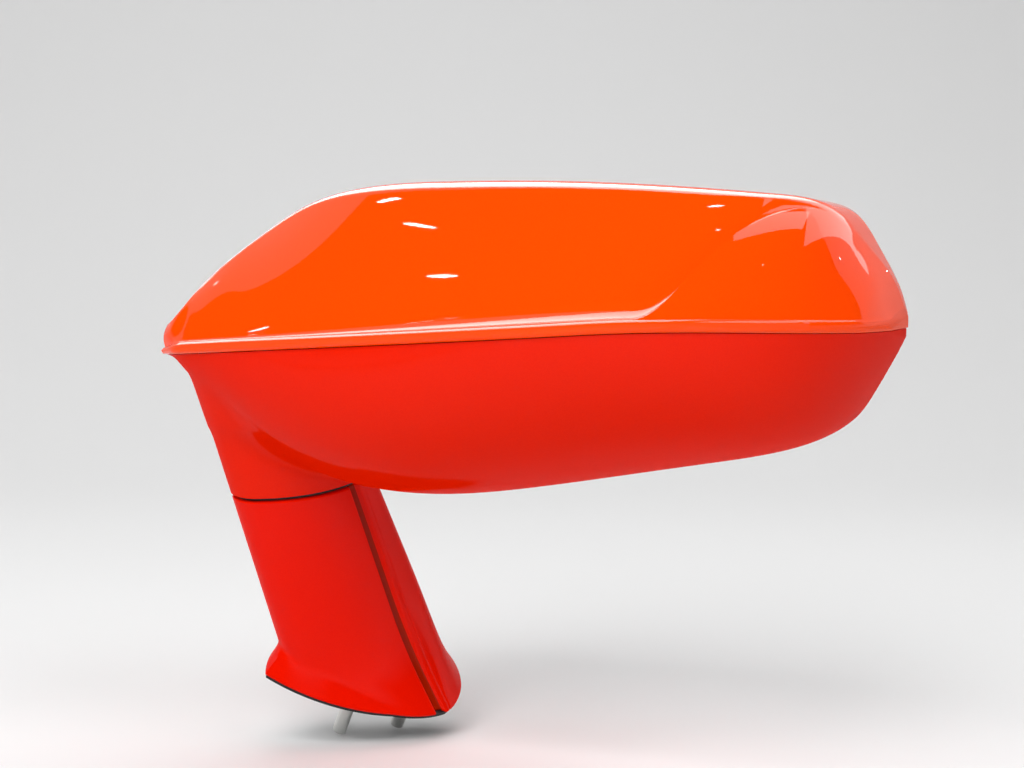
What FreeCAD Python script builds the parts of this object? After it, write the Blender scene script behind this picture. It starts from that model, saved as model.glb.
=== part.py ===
"""Door mirror of a sports car: housing on a raked arm, folding at the arm's seam, with a tilting glass.

Millimetres. +X runs outboard from the car, +Y rearward out of the glass, +Z up.
The origin is the middle of the foot's mounting face on the door.
"""
import FreeCAD, Part
import math
import os
import Sketcher
from FreeCAD import Placement, Rotation, Vector

# Driving dimensions: alias, value and what it sets.
SIZES = [
    ("arm_height", 88.6, "height of the seam on the arm's centre line above the mounting face"),
    ("housing_rise", 62.4, "height of the housing's centre of turn over the seam"),
    ("rake_forward", 21.0, "lean of the arm towards the front, degrees"),
    ("rake_inboard", 3.4, "lean of the arm towards the car, degrees"),
    ("fold_forward", 10.1, "lean of the fold axis towards the front, degrees"),
    ("fold_outboard", 6.4, "lean of the fold axis away from the car, degrees"),
    ("door_slope_out", 30.0, "fall of the door's shoulder outboard, degrees"),
    ("door_slope_rear", 6.0, "rise of the door's shoulder rearward, degrees"),
    ("toe_angle", 16.0, "turn of the housing away from square to the car, degrees"),
    ("chord_angle", 15.0, "turn of the arm's chord from +Y towards +X, degrees"),
    ("chord_foot", 39.0, "half the arm's chord at the foot"),
    ("chord_seam", 33.8, "half the arm's chord at the seam"),
    ("chord_setback", 2.2, "centre line to the middle of the chord at the seam, forwards"),
    ("arm_half_width", 19.5, "half the arm's width"),
    ("arm_nose_radius", 12.0, "rounding of the arm's leading and trailing edges"),
    ("arm_wall", 4.5, "wall of the arm's painted covers"),
    ("groove_start", 10.5, "arm's centre line to the groove behind the front cover, along the chord"),
    ("groove_width", 6.0, "width of the groove"),
    ("groove_depth", 2.6, "depth of the groove"),
    ("cover_gap", 0.6, "joint between the front and rear covers"),
    ("flare_nose", 13.0, "height of the foot's flare at its nose"),
    ("flare_tail", 27.0, "height of the foot's flare at its tail"),
    ("gasket_thickness", 1.6, "rubber gasket under the foot"),
    ("gasket_inset", 0.8, "foot's edge to the gasket's edge"),
    ("seam_gap", 1.8, "dark gap between the arm and the housing's neck"),
    ("ring_inset", 2.5, "arm's outside to the hinge ring's outside"),
    ("neck_wall", 4.0, "wall of the neck"),
    ("shell_wall", 3.0, "wall of the painted shells"),
    ("split_gap", 0.3, "joint between cap and lower shell"),
    ("lip_overhang", 1.8, "overhang of the cap's lip over the lower shell"),
    ("lip_height", 5.0, "height of the cap's lip above the split"),
    ("rim_plane", 63.0, "centre of turn to the rim plane, along the housing's depth"),
    ("rim_depth", 15.0, "depth of the rim band round the opening"),
    ("side_plane", -30.0, "flat inboard side of the housing, along X"),
    ("bezel_width", 5.0, "width of the black bezel"),
    ("bezel_depth", 12.0, "depth of the black bezel"),
    ("bezel_recess", 1.5, "rim plane to the bezel's face"),
    ("fit_gap", 0.3, "clearance between pieces that are clipped or screwed together"),
    ("glass_gap", 7.2, "running gap between bezel and glass"),
    ("glass_recess", 14.0, "rim plane to the glass face"),
    ("glass_thickness", 2.2, "mirror glass"),
    ("carrier_thickness", 3.0, "plate behind the glass"),
    ("carrier_lip", 1.2, "carrier's edge beyond the glass"),
    ("glass_centre_u", 130.0, "centre of turn to the glass pivot, along the housing"),
    ("glass_centre_z", 4.0, "height of the glass pivot above the centre of turn"),
    ("pivot_setback", 12.0, "back of the carrier plate to the pivot"),
    ("gimbal_radius", 20.0, "gimbal ring, outside"),
    ("gimbal_bore", 14.0, "gimbal ring, inside radius"),
    ("gimbal_thickness", 6.0, "gimbal ring, along its axis"),
    ("gimbal_pin_radius", 2.5, "gimbal pins"),
    ("gimbal_pin_length", 6.0, "gimbal pins beyond the ring"),
    ("pin_clearance", 0.05, "running clearance round pins and the fold post"),
    ("ear_thickness", 4.0, "ears that hold the gimbal pins"),
    ("ear_width", 10.0, "width of the ears"),
    ("adjuster_width", 78.0, "mirror adjuster body"),
    ("adjuster_depth", 12.0, "mirror adjuster body, along the housing's depth"),
    ("frame_thickness", 4.0, "inner frame plate"),
    ("post_radius", 7.5, "fold post, outside"),
    ("post_bore", 4.5, "fold post, cable channel radius"),
    ("post_below", 36.0, "fold post below the seam"),
    ("post_above", 22.0, "fold post above the seam"),
    ("stud_radius", 3.0, "mounting studs"),
    ("stud_circle", 17.0, "radius of the circle of mounting studs"),
    ("stud_count", 3.0, "number of mounting studs"),
    ("stud_length", 22.0, "mounting studs below the mounting face"),
    ("cable_radius", 4.0, "cable hole in the foot"),
]

# Overall sizes of the housing; the station table below is given in hundredths of these.
HOUSING = [
    ("housing_length", 291.5, "inboard tip to outboard tip"),
    ("housing_depth", 118.0, "rim plane to the prow"),
    ("cap_height", 66.5, "centre of turn to the crown"),
    ("belly_depth", 60.5, "centre of turn down to the keel"),
    ("tip_reach", 30.0, "centre of turn to the inboard tip"),
    ("bead_slope", 4.3, "rise of the split line outboard, degrees"),
    ("bead_bend", 170.0, "centre of turn to where the split line starts to fall"),
    ("bead_radius", 526.0, "radius of the split line beyond its bend"),
]

# Stations of the housing from its inboard tip outboard, in hundredths: along of the length, prow,
# crown and keel ahead of the rim plane of the depth, crown height of the cap height, keel depth of
# the belly depth. round is the crown's radius and cove the depth of the cap's scoop, millimetres.
STATION_COLUMNS = ("along", "prow", "crown", "crown_height", "keel", "keel_depth", "round", "cove")
STATIONS = [
    (0.0, 77.1, 72.9, 10.0, 63.6, 10.0, 1.0, 0.6),
    (2.0, 80.9, 76.3, 14.3, 66.0, 15.0, 1.2, 0.6),
    (4.1, 84.7, 69.5, 30.8, 60.2, 30.0, 1.6, 0.7),
    (7.5, 86.9, 61.9, 49.3, 53.4, 48.0, 2.5, 0.8),
    (12.2, 89.0, 54.7, 67.7, 49.2, 67.0, 4.0, 1.0),
    (18.4, 91.1, 48.7, 85.7, 47.0, 86.0, 8.0, 1.3),
    (27.2, 94.1, 46.6, 95.9, 48.3, 97.4, 14.0, 2.0),
    (40.8, 97.9, 46.6, 99.6, 48.3, 100.0, 18.0, 3.4),
    (54.4, 100.0, 47.5, 100.0, 45.8, 91.9, 19.0, 5.0),
    (68.0, 99.2, 45.8, 98.3, 43.2, 80.3, 19.0, 6.4),
    (78.2, 93.2, 41.9, 95.6, 39.0, 71.7, 18.0, 7.0),
    (85.7, 83.5, 37.3, 92.9, 33.0, 64.1, 15.0, 7.0),
    (91.8, 69.5, 28.0, 87.5, 22.0, 51.0, 12.0, 7.0),
    (95.9, 54.0, 17.0, 64.0, 12.0, 17.0, 10.0, 7.0),
    (98.6, 38.0, 8.0, 40.0, 6.0, -7.0, 5.0, 7.0),
    (100.0, 20.0, 4.0, 31.0, 3.0, -13.0, 2.0, 7.0),
]

# The crease between the scoop and the outboard bulge, in the plane of the cap's face: along the
# housing and up the face from the centre of turn.
CREASE = [("foot", 191.0, -24.0), ("middle", 207.0, 14.0), ("head", 241.0, 62.0)]

# Corners of the opening in the rim plane: along the housing, height, and corner radius.
OPENING = [
    ("inboard_top", 4.0, 33.0, 14.0),
    ("shoulder", 40.0, 57.5, 30.0),
    ("top", 130.0, 60.5, 160.0),
    ("outboard_top", 234.0, 52.5, 10.0),
    ("outboard_tip", 255.0, 14.0, 10.0),
    ("outboard_bottom", 237.0, -22.0, 12.0),
    ("belly", 165.0, -40.0, 120.0),
    ("keel", 92.0, -49.5, 40.0),
    ("inboard_heel", 26.0, -45.0, 20.0),
    ("inboard_bottom", 4.0, -24.0, 14.0),
]

# Outline of the foot on the door, seen from above, from its pointed nose outboard and round:
# each edge's middle and end.
FOOT_NOSE = (-17.0, -49.5)
FOOT_EDGES = [
    ("nose_outboard", (4.4, -35.6), (21.8, -10.6)),
    ("side_outboard", (27.6, 2.0), (29.6, 15.0)),
    ("tail", (19.5, 34.0), (3.0, 42.5)),
    ("side_inboard", (-17.5, 25.0), (-27.0, -2.0)),
    ("nose_inboard", (-28.5, -30.0), FOOT_NOSE),
]

REACH = 500.0  # half-size of the blocks that trim the forms
COLUMN_BELOW = 45.0  # the column's form below the origin
COLUMN_ABOVE = 24.0  # the column's form above the housing's centre of turn
CAP_FACE_TURN = 34.0  # how far the bulge's face turns between crown and lip, degrees
FACE_SAG = 1.6  # crown of the scooped face across its height
DECK_DROP = 2.6  # fall of the cap's deck from crown to rim
BELLY_RISE = 5.0  # rise of the belly from keel to rim
OVERRUN = 12.0  # how far the forms run past the planes that trim them
LIP_ROUND = 2.4  # rounding of the cap's lip
LIP_SET = 1.9  # lip's edge behind the prow
LIP_BULGE = 0.45  # how far the lip's round stands out from its chord
LIP_EXIT = 0.6  # where the scoop leaves through the lip's round
BEAD_DROP = 0.4  # lip under the sloped line at the inboard tip
LEAST_ROUND = 0.8  # smallest rounding of the crown
LEAST_TURN = 8.0  # smallest turn of the crown's round, degrees
LEAST_BELLY = 2.0  # smallest depth of the belly under the split
LEAST_CORNER = 2.0  # smallest corner radius of the opening
COVE_RUN = 1.8  # cove's run behind the lip, of the station's cove
COVE_RISE = 0.85  # cove's rise over the lip, of the station's cove
SCOOP_RUN = 16.0  # scoop's run past the crown's edge
SCOOP_REACH = 50.0  # scoop's reach ahead of the cap
CAVITY_SET = 0.5  # hollow's front corner behind the crown
SPLIT_RUN = 120.0  # split line's run past its bend
FACE_UP = (0.71, 0.70)  # rearward and up along the cap's face
CREASE_REACH = 130.0  # crease block's reach round the face
CREASE_LEAN = 4.0  # inboard lean of the crease block under the lip
CREASE_HEAD = 10.0  # outboard lean of the crease block over the crown
FLARE_TUCK = 0.8  # top of the flare inside the column's face
SKIRT = 1.0  # upright edge of the foot over the gasket
RIM_RUN = 4.0  # opening's run ahead of the rim band
PIN_PROUD = 0.5  # gimbal pins beyond their ears
ADJUSTER_ROUND = 10.0  # corners of the adjuster body
GROOVE_RUN = 1.0  # groove's cut past the covers' joint
HOLE_RUN = 10.0  # how far hole cutters run past a face
FORM_RUN = 20.0  # how far the arm's inner forms run past its ends
BORE_REACH = 125.0  # reach of the cutters on the fold axis
POST_OVERLAP = 1.0  # cable channel's start inside the post's bore
BEZEL_RUN = 1.0  # bezel's cutter past its faces
SPIGOT_OVERLAP = 0.5  # hinge ring's spigot into its disc
UPRIGHT_LIMIT = 0.8  # share of X in a direction that counts as lying along it
DEPTH_LIMIT = 0.9  # share of Y in an edge that runs front to rear
STRAIGHT_TURN = 1e-4  # least turn of an arc, radians
FIRST_RADIUS = 10.0  # sketched radius before the sheet sets it
HOLE_BELOW = 5.0  # how far hole cutters start under the mounting face

doc = FreeCAD.newDocument("door_mirror")
sheet = doc.addObject("Spreadsheet::Sheet", "Sizes")
for line, (alias, value, note) in enumerate(SIZES + HOUSING, start=1):
    sheet.set(f"A{line}", alias)
    sheet.set(f"B{line}", str(value))
    sheet.set(f"C{line}", note)
    sheet.setAlias(f"B{line}", alias)
doc.recompute()


def size(alias):
    """Value of one driving dimension."""
    return float(sheet.get(alias))


def slope(alias):
    """Tangent of one driving angle."""
    return math.tan(math.radians(size(alias)))


def unit(x, y, z):
    """Unit vector."""
    vector = Vector(x, y, z)
    return vector.normalize()


# The frames: the arm's lean, the fold axis, the door's shoulder and the housing's own frame.
ARM_LEAN = Vector(-slope("rake_inboard"), -slope("rake_forward"), 1.0)
SEAM_POINT = ARM_LEAN * size("arm_height")
FOLD_AXIS = unit(slope("fold_outboard"), -slope("fold_forward"), 1.0)
DOOR_NORMAL = unit(slope("door_slope_out"), -slope("door_slope_rear"), 1.0)
TURN_HEIGHT = size("arm_height") + size("housing_rise")
HOUSING_FRAME = Placement(ARM_LEAN * TURN_HEIGHT, Rotation(Vector(0, 0, 1), size("toe_angle")))
CHORD_TURN = math.radians(size("chord_angle"))
CHORD = Vector(math.sin(CHORD_TURN), math.cos(CHORD_TURN), 0)
ACROSS = Vector(math.cos(CHORD_TURN), -math.sin(CHORD_TURN), 0)


def turned(z_axis, x_hint):
    """Rotation that takes +Z to z_axis and keeps +X near x_hint."""
    y_axis = z_axis.cross(x_hint).normalize()
    x_axis = y_axis.cross(z_axis)
    return Rotation(x_axis, y_axis, z_axis, "ZXY")


def half_space(point, normal):
    """Large block that fills the side of a plane away from its normal."""
    block = Part.makeBox(2 * REACH, 2 * REACH, REACH, Vector(-REACH, -REACH, -REACH))
    hint = Vector(1, 0, 0) if abs(normal.x) < UPRIGHT_LIMIT else Vector(0, 1, 0)
    block.Placement = Placement(point, turned(Vector(normal).normalize(), hint))
    return block


def arc_from(start, direction, end):
    """Arc that leaves start along direction and ends at end."""
    along = Vector(direction).normalize()
    chord = end - start
    bend = chord - along * (2 * along.dot(chord))
    middle_direction = (chord.normalize() + along).normalize()
    half = (end - start).Length / 2
    turn = math.acos(max(-1.0, min(1.0, along.dot(chord))))
    if turn < STRAIGHT_TURN or bend.Length == 0:
        return Part.LineSegment(start, end).toShape()
    reach = half / math.cos(turn / 2)
    return Part.Arc(start, start + middle_direction * reach, end).toShape()


def lines(*points):
    """Straight edges from point to point."""
    return [Part.LineSegment(a, b).toShape() for a, b in zip(points, points[1:])]


# The arm and neck share one raked column.

def column_arcs(height, inset):
    """Corner and middle points of the column's four tangent arcs at one height, nose first."""
    share = height / size("arm_height")
    half_chord = size("chord_foot") + (size("chord_seam") - size("chord_foot")) * share - inset
    half_width = size("arm_half_width") - inset
    nose = size("arm_nose_radius") - inset
    straight = half_chord - nose
    side = (straight ** 2 / (half_width - nose) + nose + half_width) / 2
    lean = math.atan2(straight, side - half_width)
    centre = ARM_LEAN * height - CHORD * (size("chord_setback") * share)

    def at(chord, across):
        return centre + CHORD * chord + ACROSS * across

    corner_chord = straight + nose * math.sin(lean)
    corner_across = nose * math.cos(lean)
    bow = math.pi / 4 - lean / 2
    mid_chord = straight + nose * math.cos(bow)
    mid_across = nose * math.sin(bow)
    return {
        "nose": at(-half_chord, 0),
        "nose_out_mid": at(-mid_chord, mid_across),
        "nose_out": at(-corner_chord, corner_across),
        "side_out": at(0, half_width),
        "tail_out": at(corner_chord, corner_across),
        "tail": at(half_chord, 0),
        "tail_in": at(corner_chord, -corner_across),
        "side_in": at(0, -half_width),
        "nose_in": at(-corner_chord, -corner_across),
        "nose_in_mid": at(-mid_chord, -mid_across),
    }


COLUMN_EDGES = [
    ("nose", "nose_out_mid", "nose_out"),
    ("nose_out", "side_out", "tail_out"),
    ("tail_out", "tail", "tail_in"),
    ("tail_in", "side_in", "nose_in"),
    ("nose_in", "nose_in_mid", "nose"),
]


def column(inset):
    """The raked column, wider at the foot, from below the door's shoulder to inside the cap."""
    wires = []
    for height in (-COLUMN_BELOW, TURN_HEIGHT + COLUMN_ABOVE):
        spots = column_arcs(height, inset)
        arcs = [Part.Arc(spots[a], spots[b], spots[c]).toShape() for a, b, c in COLUMN_EDGES]
        wires.append(Part.Wire(arcs))
    return Part.makeLoft(wires, True, True)


def on_door(x, y, lift=0.0):
    """Point over the mounting face, lifted square to it."""
    z = -(DOOR_NORMAL.x * x + DOOR_NORMAL.y * y) / DOOR_NORMAL.z
    return Vector(x, y, z) + DOOR_NORMAL * lift


def foot_points(inset):
    """Foot outline on the mounting face, drawn in towards its middle by an inset."""
    def drawn(spot):
        flat = Vector(spot[0], spot[1], 0)
        reach = flat.Length
        flat = flat * ((reach - inset) / reach)
        return on_door(flat.x, flat.y)

    nose = drawn(FOOT_NOSE)
    return nose, [(drawn(middle), drawn(end)) for name, middle, end in FOOT_EDGES]


def foot_wire(inset, lift):
    """Outline of the foot, lifted square to the door."""
    start, edges = foot_points(inset)
    shift = DOOR_NORMAL * lift
    arcs = []
    for middle, end in edges:
        arcs.append(Part.Arc(start + shift, middle + shift, end + shift).toShape())
        start = end
    return Part.Wire(arcs)


def flare(inset):
    """Flare from the foot's pointed outline up to the column."""
    low = size("flare_nose")
    high = size("flare_tail")
    spots = column_arcs(0.0, inset + FLARE_TUCK)
    raised = {}
    for name, spot in spots.items():
        lift = (low + high) / 2 + (high - low) / 2 * spot.dot(CHORD) / size("chord_foot")
        rise = (lift - DOOR_NORMAL.dot(spot)) / DOOR_NORMAL.dot(ARM_LEAN)
        raised[name] = spot + ARM_LEAN * rise
    top = Part.Wire([Part.Arc(raised[a], raised[b], raised[c]).toShape() for a, b, c in COLUMN_EDGES])
    skirt = size("gasket_thickness") + SKIRT
    return Part.makeLoft([foot_wire(inset, 0.0), foot_wire(inset, skirt), top], True, True)


def arm_form(inset, base_lift, seam_drop):
    """Column and flare between the mounting face and the seam."""
    solid = column(inset).fuse(flare(inset))
    above = half_space(DOOR_NORMAL * base_lift, DOOR_NORMAL)
    below = half_space(SEAM_POINT - FOLD_AXIS * seam_drop, FOLD_AXIS)
    return solid.cut(above).common(below)


def chord_slab(start, end):
    """Slab of the arm between two stations of its chord."""
    along = unit(ARM_LEAN.x, ARM_LEAN.y, ARM_LEAN.z)
    normal = along.cross(ACROSS).normalize()
    if normal.dot(CHORD) < 0:
        normal = normal * -1
    share = normal.dot(CHORD)
    front = half_space(normal * (start * share), normal)
    rear = half_space(normal * (end * share), normal)
    return rear.cut(front)


# Housing sections, in the housing's own frame: X along, Y rearward, Z up.

def bead_level(along):
    """Height of the split line at a station, under the cap's lip."""
    past = max(0.0, along - size("bead_bend"))
    sag = past ** 2 / (2 * size("bead_radius"))
    lip = slope("bead_slope") * (along + size("tip_reach")) - sag - BEAD_DROP
    return lip - size("lip_height")


def station(row, inset=0.0):
    """One row of the station table in millimetres, the ends drawn in by an inset."""
    values = dict(zip(STATION_COLUMNS, row))
    length = size("housing_length")
    depth = size("housing_depth")
    middle = length / 2 - size("tip_reach")
    along = length * values["along"] / 100 - size("tip_reach")
    along = middle + (along - middle) * (1 - 2 * inset / length)
    rim = size("rim_plane")
    return {
        "along": along,
        "prow": rim - depth * values["prow"] / 100 + inset,
        "crown": rim - depth * values["crown"] / 100,
        "top": size("cap_height") * values["crown_height"] / 100 - inset,
        "keel": rim - depth * values["keel"] / 100,
        "bottom": -size("belly_depth") * values["keel_depth"] / 100 + inset,
        "bead": bead_level(along),
        "round": max(LEAST_ROUND, values["round"] - inset),
        "cove": values["cove"],
        "rear": rim + OVERRUN,
    }


def cap_points(s):
    """Corner points of the cap's profile at a station."""
    along = s["along"]
    rear = Vector(along, s["rear"], s["top"] - DECK_DROP)
    crown = Vector(along, s["crown"], s["top"])
    lip = Vector(along, s["prow"] + LIP_SET, s["bead"] + size("lip_height"))
    fall = math.atan2(s["top"] - lip.z, s["crown"] - lip.y)
    turn = fall - math.radians(CAP_FACE_TURN) / 2
    turn = max(turn, math.radians(LEAST_TURN))
    radius = s["round"]
    shoulder = crown + Vector(0, -radius * math.sin(turn), -radius * (1 - math.cos(turn)))
    nose = Vector(along, s["prow"], lip.z - LIP_ROUND)
    return {"rear": rear, "crown": crown, "shoulder": shoulder, "turn": turn, "lip": lip, "nose": nose}


def cap_wire(row, inset=0.0):
    """Closed profile of the cap, run down past the split."""
    s = station(row, inset)
    p = cap_points(s)
    foot = Vector(s["along"], s["prow"], s["bead"] - OVERRUN / 2)
    back = Vector(s["along"], s["rear"], s["bead"] - OVERRUN / 2)
    leave = Vector(0, -math.cos(p["turn"]), -math.sin(p["turn"]))
    edges = lines(p["rear"], p["crown"])
    edges.append(arc_from(p["crown"], p["crown"] - p["rear"], p["shoulder"]))
    edges.append(arc_from(p["shoulder"], leave, p["lip"]))
    round_middle = (p["lip"] + p["nose"]) * 0.5 + Vector(0, -LIP_BULGE, LIP_BULGE)
    edges.append(Part.Arc(p["lip"], round_middle, p["nose"]).toShape())
    edges += lines(p["nose"], foot, back, p["rear"])
    return Part.Wire(edges)


def cap_cavity_wire(row, wall):
    """Profile of the hollow under the cap, clear of the scoop."""
    s = station(row, wall)
    p = cap_points(s)
    front = s["prow"] + s["cove"] + LIP_ROUND
    knee = Vector(s["along"], front, s["bead"] + size("lip_height"))
    foot = Vector(s["along"], front, s["bead"] - OVERRUN)
    back = Vector(s["along"], s["rear"] + OVERRUN, s["bead"] - OVERRUN)
    rear = p["rear"] + Vector(0, OVERRUN, 0)
    edge = p["crown"] + Vector(0, CAVITY_SET, 0)
    return Part.Wire(lines(rear, edge, knee, foot, back, rear))


def scoop_wire(row, shift=0.0):
    """Profile of what the scoop removes: the cap's flat face and its cove above the lip."""
    s = station(row)
    p = cap_points(s)
    lip = p["lip"]
    cove = s["cove"]
    shoulder = p["shoulder"]
    turn_point = lip + Vector(0, COVE_RUN * cove, COVE_RISE * cove)
    up = (shoulder - turn_point).normalize()
    middle = (shoulder + turn_point) * 0.5 + Vector(0, -up.z, up.y) * FACE_SAG
    face = Part.Arc(shoulder, middle, turn_point).toShape()
    head = shoulder - face.tangentAt(face.FirstParameter) * SCOOP_RUN
    exit_point = Vector(lip.x, s["prow"] + LIP_EXIT, lip.z - LIP_EXIT)
    far_low = exit_point + Vector(0, -SCOOP_REACH, -LIP_ROUND)
    far_high = Vector(lip.x, far_low.y, head.z + SCOOP_RUN)
    edges = lines(head, shoulder)
    edges += [face, arc_from(turn_point, face.tangentAt(face.LastParameter), exit_point)]
    edges += lines(exit_point, far_low, far_high, head)
    wire = Part.Wire(edges)
    wire.translate(Vector(shift, 0, 0))
    return wire


def belly_wire(row, inset=0.0, overhang=0.0):
    """Closed profile of the lower shell, run up past the split."""
    s = station(row, inset)
    prow = Vector(s["along"], s["prow"] + overhang, s["bead"])
    keel = Vector(s["along"], s["keel"], min(s["bottom"], s["bead"] - LEAST_BELLY))
    back = Vector(s["along"], s["rear"], keel.z + BELLY_RISE)
    top = s["bead"] + OVERRUN / 2
    run = back.y - keel.y
    edges = [arc_from(keel, Vector(0, -1, 0), prow)]
    edges += lines(prow, Vector(s["along"], prow.y, top), Vector(s["along"], s["rear"], top), back)
    bow = Part.Arc(back, Vector(s["along"], keel.y + run / 2, keel.z + BELLY_RISE / 4), keel).toShape()
    edges.append(bow)
    return Part.Wire(edges)


def smooth(wires):
    """Solid through a row of profiles."""
    return Part.makeLoft(wires, True, False)


def split_block(lift):
    """Block below the split line, lifted by a gap."""
    start = -size("tip_reach") - OVERRUN
    bend = size("bead_bend")
    end = bend + SPLIT_RUN
    low = -REACH

    def at(along):
        return Vector(along, -REACH, bead_level(along) + lift)

    edges = lines(at(start), at(bend))
    edges.append(Part.Arc(at(bend), at((bend + end) / 2), at(end)).toShape())
    edges += lines(at(end), Vector(end, -REACH, low), Vector(start, -REACH, low), at(start))
    return Part.Face(Part.Wire(edges)).extrude(Vector(0, 2 * REACH, 0))


def crease_block():
    """Block inboard of the crease, square to the cap's face."""
    up = Vector(0, *FACE_UP).normalize()
    out = Vector(0, -up.z, up.y)
    reach = CREASE_REACH

    def at(along, high):
        return Vector(along, 0, 0) + up * high - out * reach

    foot, middle, head = [at(along, high) for name, along, high in CREASE]
    low = at(CREASE[0][1] - CREASE_LEAN, -reach)
    corner = at(CREASE[2][1] + CREASE_HEAD, reach)
    edges = lines(at(-reach, reach), at(-reach, -reach), low, foot)
    edges.append(Part.Arc(foot, middle, head).toShape())
    edges += lines(head, corner, at(-reach, reach))
    return Part.Face(Part.Wire(edges)).extrude(out * 2 * reach)


def opening_wire(inset, depth):
    """Rounded outline of the opening, drawn in by an inset, at a depth behind the centre of turn."""
    corners = [Vector(along, depth, height) for name, along, height, radius in OPENING]
    radii = [max(LEAST_CORNER, radius - inset) for name, along, height, radius in OPENING]
    count = len(corners)
    inward = []
    for i in range(count):
        edge = (corners[(i + 1) % count] - corners[i]).normalize()
        inward.append(Vector(edge.z, 0, -edge.x))
    moved = []
    for i in range(count):
        before = inward[i - 1]
        after = inward[i]
        bisector = (before + after).normalize()
        moved.append(corners[i] + bisector * (inset / bisector.dot(after)))
    edges = []
    tangents = []
    for i in range(count):
        back = (moved[i - 1] - moved[i]).normalize()
        ahead = (moved[(i + 1) % count] - moved[i]).normalize()
        half = back.getAngle(ahead) / 2
        cut = radii[i] / math.tan(half)
        bisector = (back + ahead).normalize()
        middle = moved[i] + bisector * (radii[i] / math.sin(half) - radii[i])
        tangents.append((moved[i] + back * cut, middle, moved[i] + ahead * cut))
    for i in range(count):
        start, middle, end = tangents[i]
        edges.append(Part.Arc(start, middle, end).toShape())
        edges += lines(end, tangents[(i + 1) % count][0])
    return Part.Wire(edges)


def opening_prism(inset, front, rear):
    """The opening's outline as a prism between two depths."""
    face = Part.Face(opening_wire(inset, front))
    return face.extrude(Vector(0, rear - front, 0))


def add_shape(label, shape, placement=None):
    """Keep a finished solid as a named object of the document."""
    feature = doc.addObject("Part::Feature", label)
    feature.Label = label
    feature.Shape = shape
    if placement is not None:
        feature.Placement = placement.multiply(feature.Placement)
    return feature


def one_solid(shape):
    """The single solid of a shape."""
    solids = sorted(shape.Solids, key=lambda solid: solid.Volume)
    return solids[-1]


def to_housing(shape):
    """A shape of the row frame, seen from the housing's frame."""
    moved = shape.copy()
    moved.Placement = HOUSING_FRAME.inverse().multiply(moved.Placement)
    return moved


def side_block(inset):
    """Everything inboard of the housing's flat side."""
    inverse = HOUSING_FRAME.inverse()
    point = inverse.multVec(Vector(size("side_plane") + inset, 0, 0))
    return half_space(point, inverse.Rotation.multVec(Vector(1, 0, 0)))


def front_of(depth):
    """Everything ahead of a plane square to the housing's depth."""
    return half_space(Vector(0, depth, 0), Vector(0, 1, 0))


def above_seam(lift):
    """Everything below a plane over the seam, in the housing's frame."""
    return to_housing(half_space(SEAM_POINT + FOLD_AXIS * lift, FOLD_AXIS))


def fold_cylinder(radius, bottom, top):
    """Cylinder on the fold axis between two heights above the seam."""
    return Part.makeCylinder(radius, top - bottom, SEAM_POINT + FOLD_AXIS * bottom, FOLD_AXIS)


HOLLOW_ROWS = STATIONS[3:14]
RIM_FRONT = size("rim_plane") - size("rim_depth")


def rim_cutter():
    """Opening through the rim band."""
    return opening_prism(0.0, RIM_FRONT - RIM_RUN, size("rim_plane") + 2 * OVERRUN)


def cap_cavity(extra):
    """Hollow under the cap, drawn in by a clearance."""
    wall = size("shell_wall") + extra
    cavity = smooth([cap_cavity_wire(row, wall) for row in HOLLOW_ROWS])
    return cavity.common(front_of(RIM_FRONT)).cut(side_block(wall))


def belly_cavity(extra):
    """Hollow of the lower shell, drawn in by a clearance."""
    wall = size("shell_wall") + extra
    cavity = smooth([belly_wire(row, wall, size("lip_overhang")) for row in HOLLOW_ROWS])
    return cavity.common(front_of(RIM_FRONT)).cut(side_block(wall))


def make_upper_cap():
    """Painted cap: convex outboard bulge, scooped main face with a cove over the lip, hollow under."""
    form = smooth([cap_wire(row) for row in STATIONS])
    inboard_end = scoop_wire(STATIONS[0], -OVERRUN)
    scoop = smooth([inboard_end] + [scoop_wire(row) for row in STATIONS[:-2]]).common(crease_block())
    shell = form.cut(scoop).cut(split_block(size("split_gap") / 2)).common(front_of(size("rim_plane")))
    shell = shell.cut(side_block(0.0)).cut(cap_cavity(0.0)).cut(rim_cutter())
    return one_solid(shell)


def make_lower_shell():
    """Painted lower shell: round belly running into the raked neck, hollow for the fold drive."""
    overhang = size("lip_overhang")
    belly = smooth([belly_wire(row, 0.0, overhang) for row in STATIONS])
    belly = belly.common(front_of(size("rim_plane"))).cut(side_block(0.0))
    neck = to_housing(column(0.0)).cut(above_seam(size("seam_gap")))
    outer = belly.fuse(neck).common(split_block(-size("split_gap") / 2))
    throat = to_housing(column(size("neck_wall"))).common(split_block(OVERRUN))
    return one_solid(outer.cut(belly_cavity(0.0)).cut(throat).cut(rim_cutter()))


def make_bezel():
    """Black ring inside the rim."""
    rear = size("rim_plane") - size("bezel_recess")
    outer = opening_prism(size("fit_gap"), rear - size("bezel_depth"), rear)
    front = rear - size("bezel_depth") - BEZEL_RUN
    return outer.cut(opening_prism(size("bezel_width"), front, rear + BEZEL_RUN))


GLASS_INSET = size("bezel_width") + size("glass_gap")
GLASS_FACE = size("rim_plane") - size("glass_recess")
CARRIER_REAR = GLASS_FACE - size("glass_thickness")
CARRIER_FRONT = CARRIER_REAR - size("carrier_thickness")
PIVOT = Vector(size("glass_centre_u"), CARRIER_FRONT - size("pivot_setback"), size("glass_centre_z"))
EAR_NEAR = size("gimbal_radius") + size("gimbal_pin_length") - PIN_PROUD - size("ear_thickness")
FRAME_REAR = 2.0
FRAME_INSET = 3.0
FRAME_START = 4.0
FRAME_LENGTH = 196.0
POST_COVER = 4.0
DRIVE_SIZE = (24.0, 22.0, 16.0)
DRIVE_SHIFT = -4.0
DRIVE_MARGIN = 1.0


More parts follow.
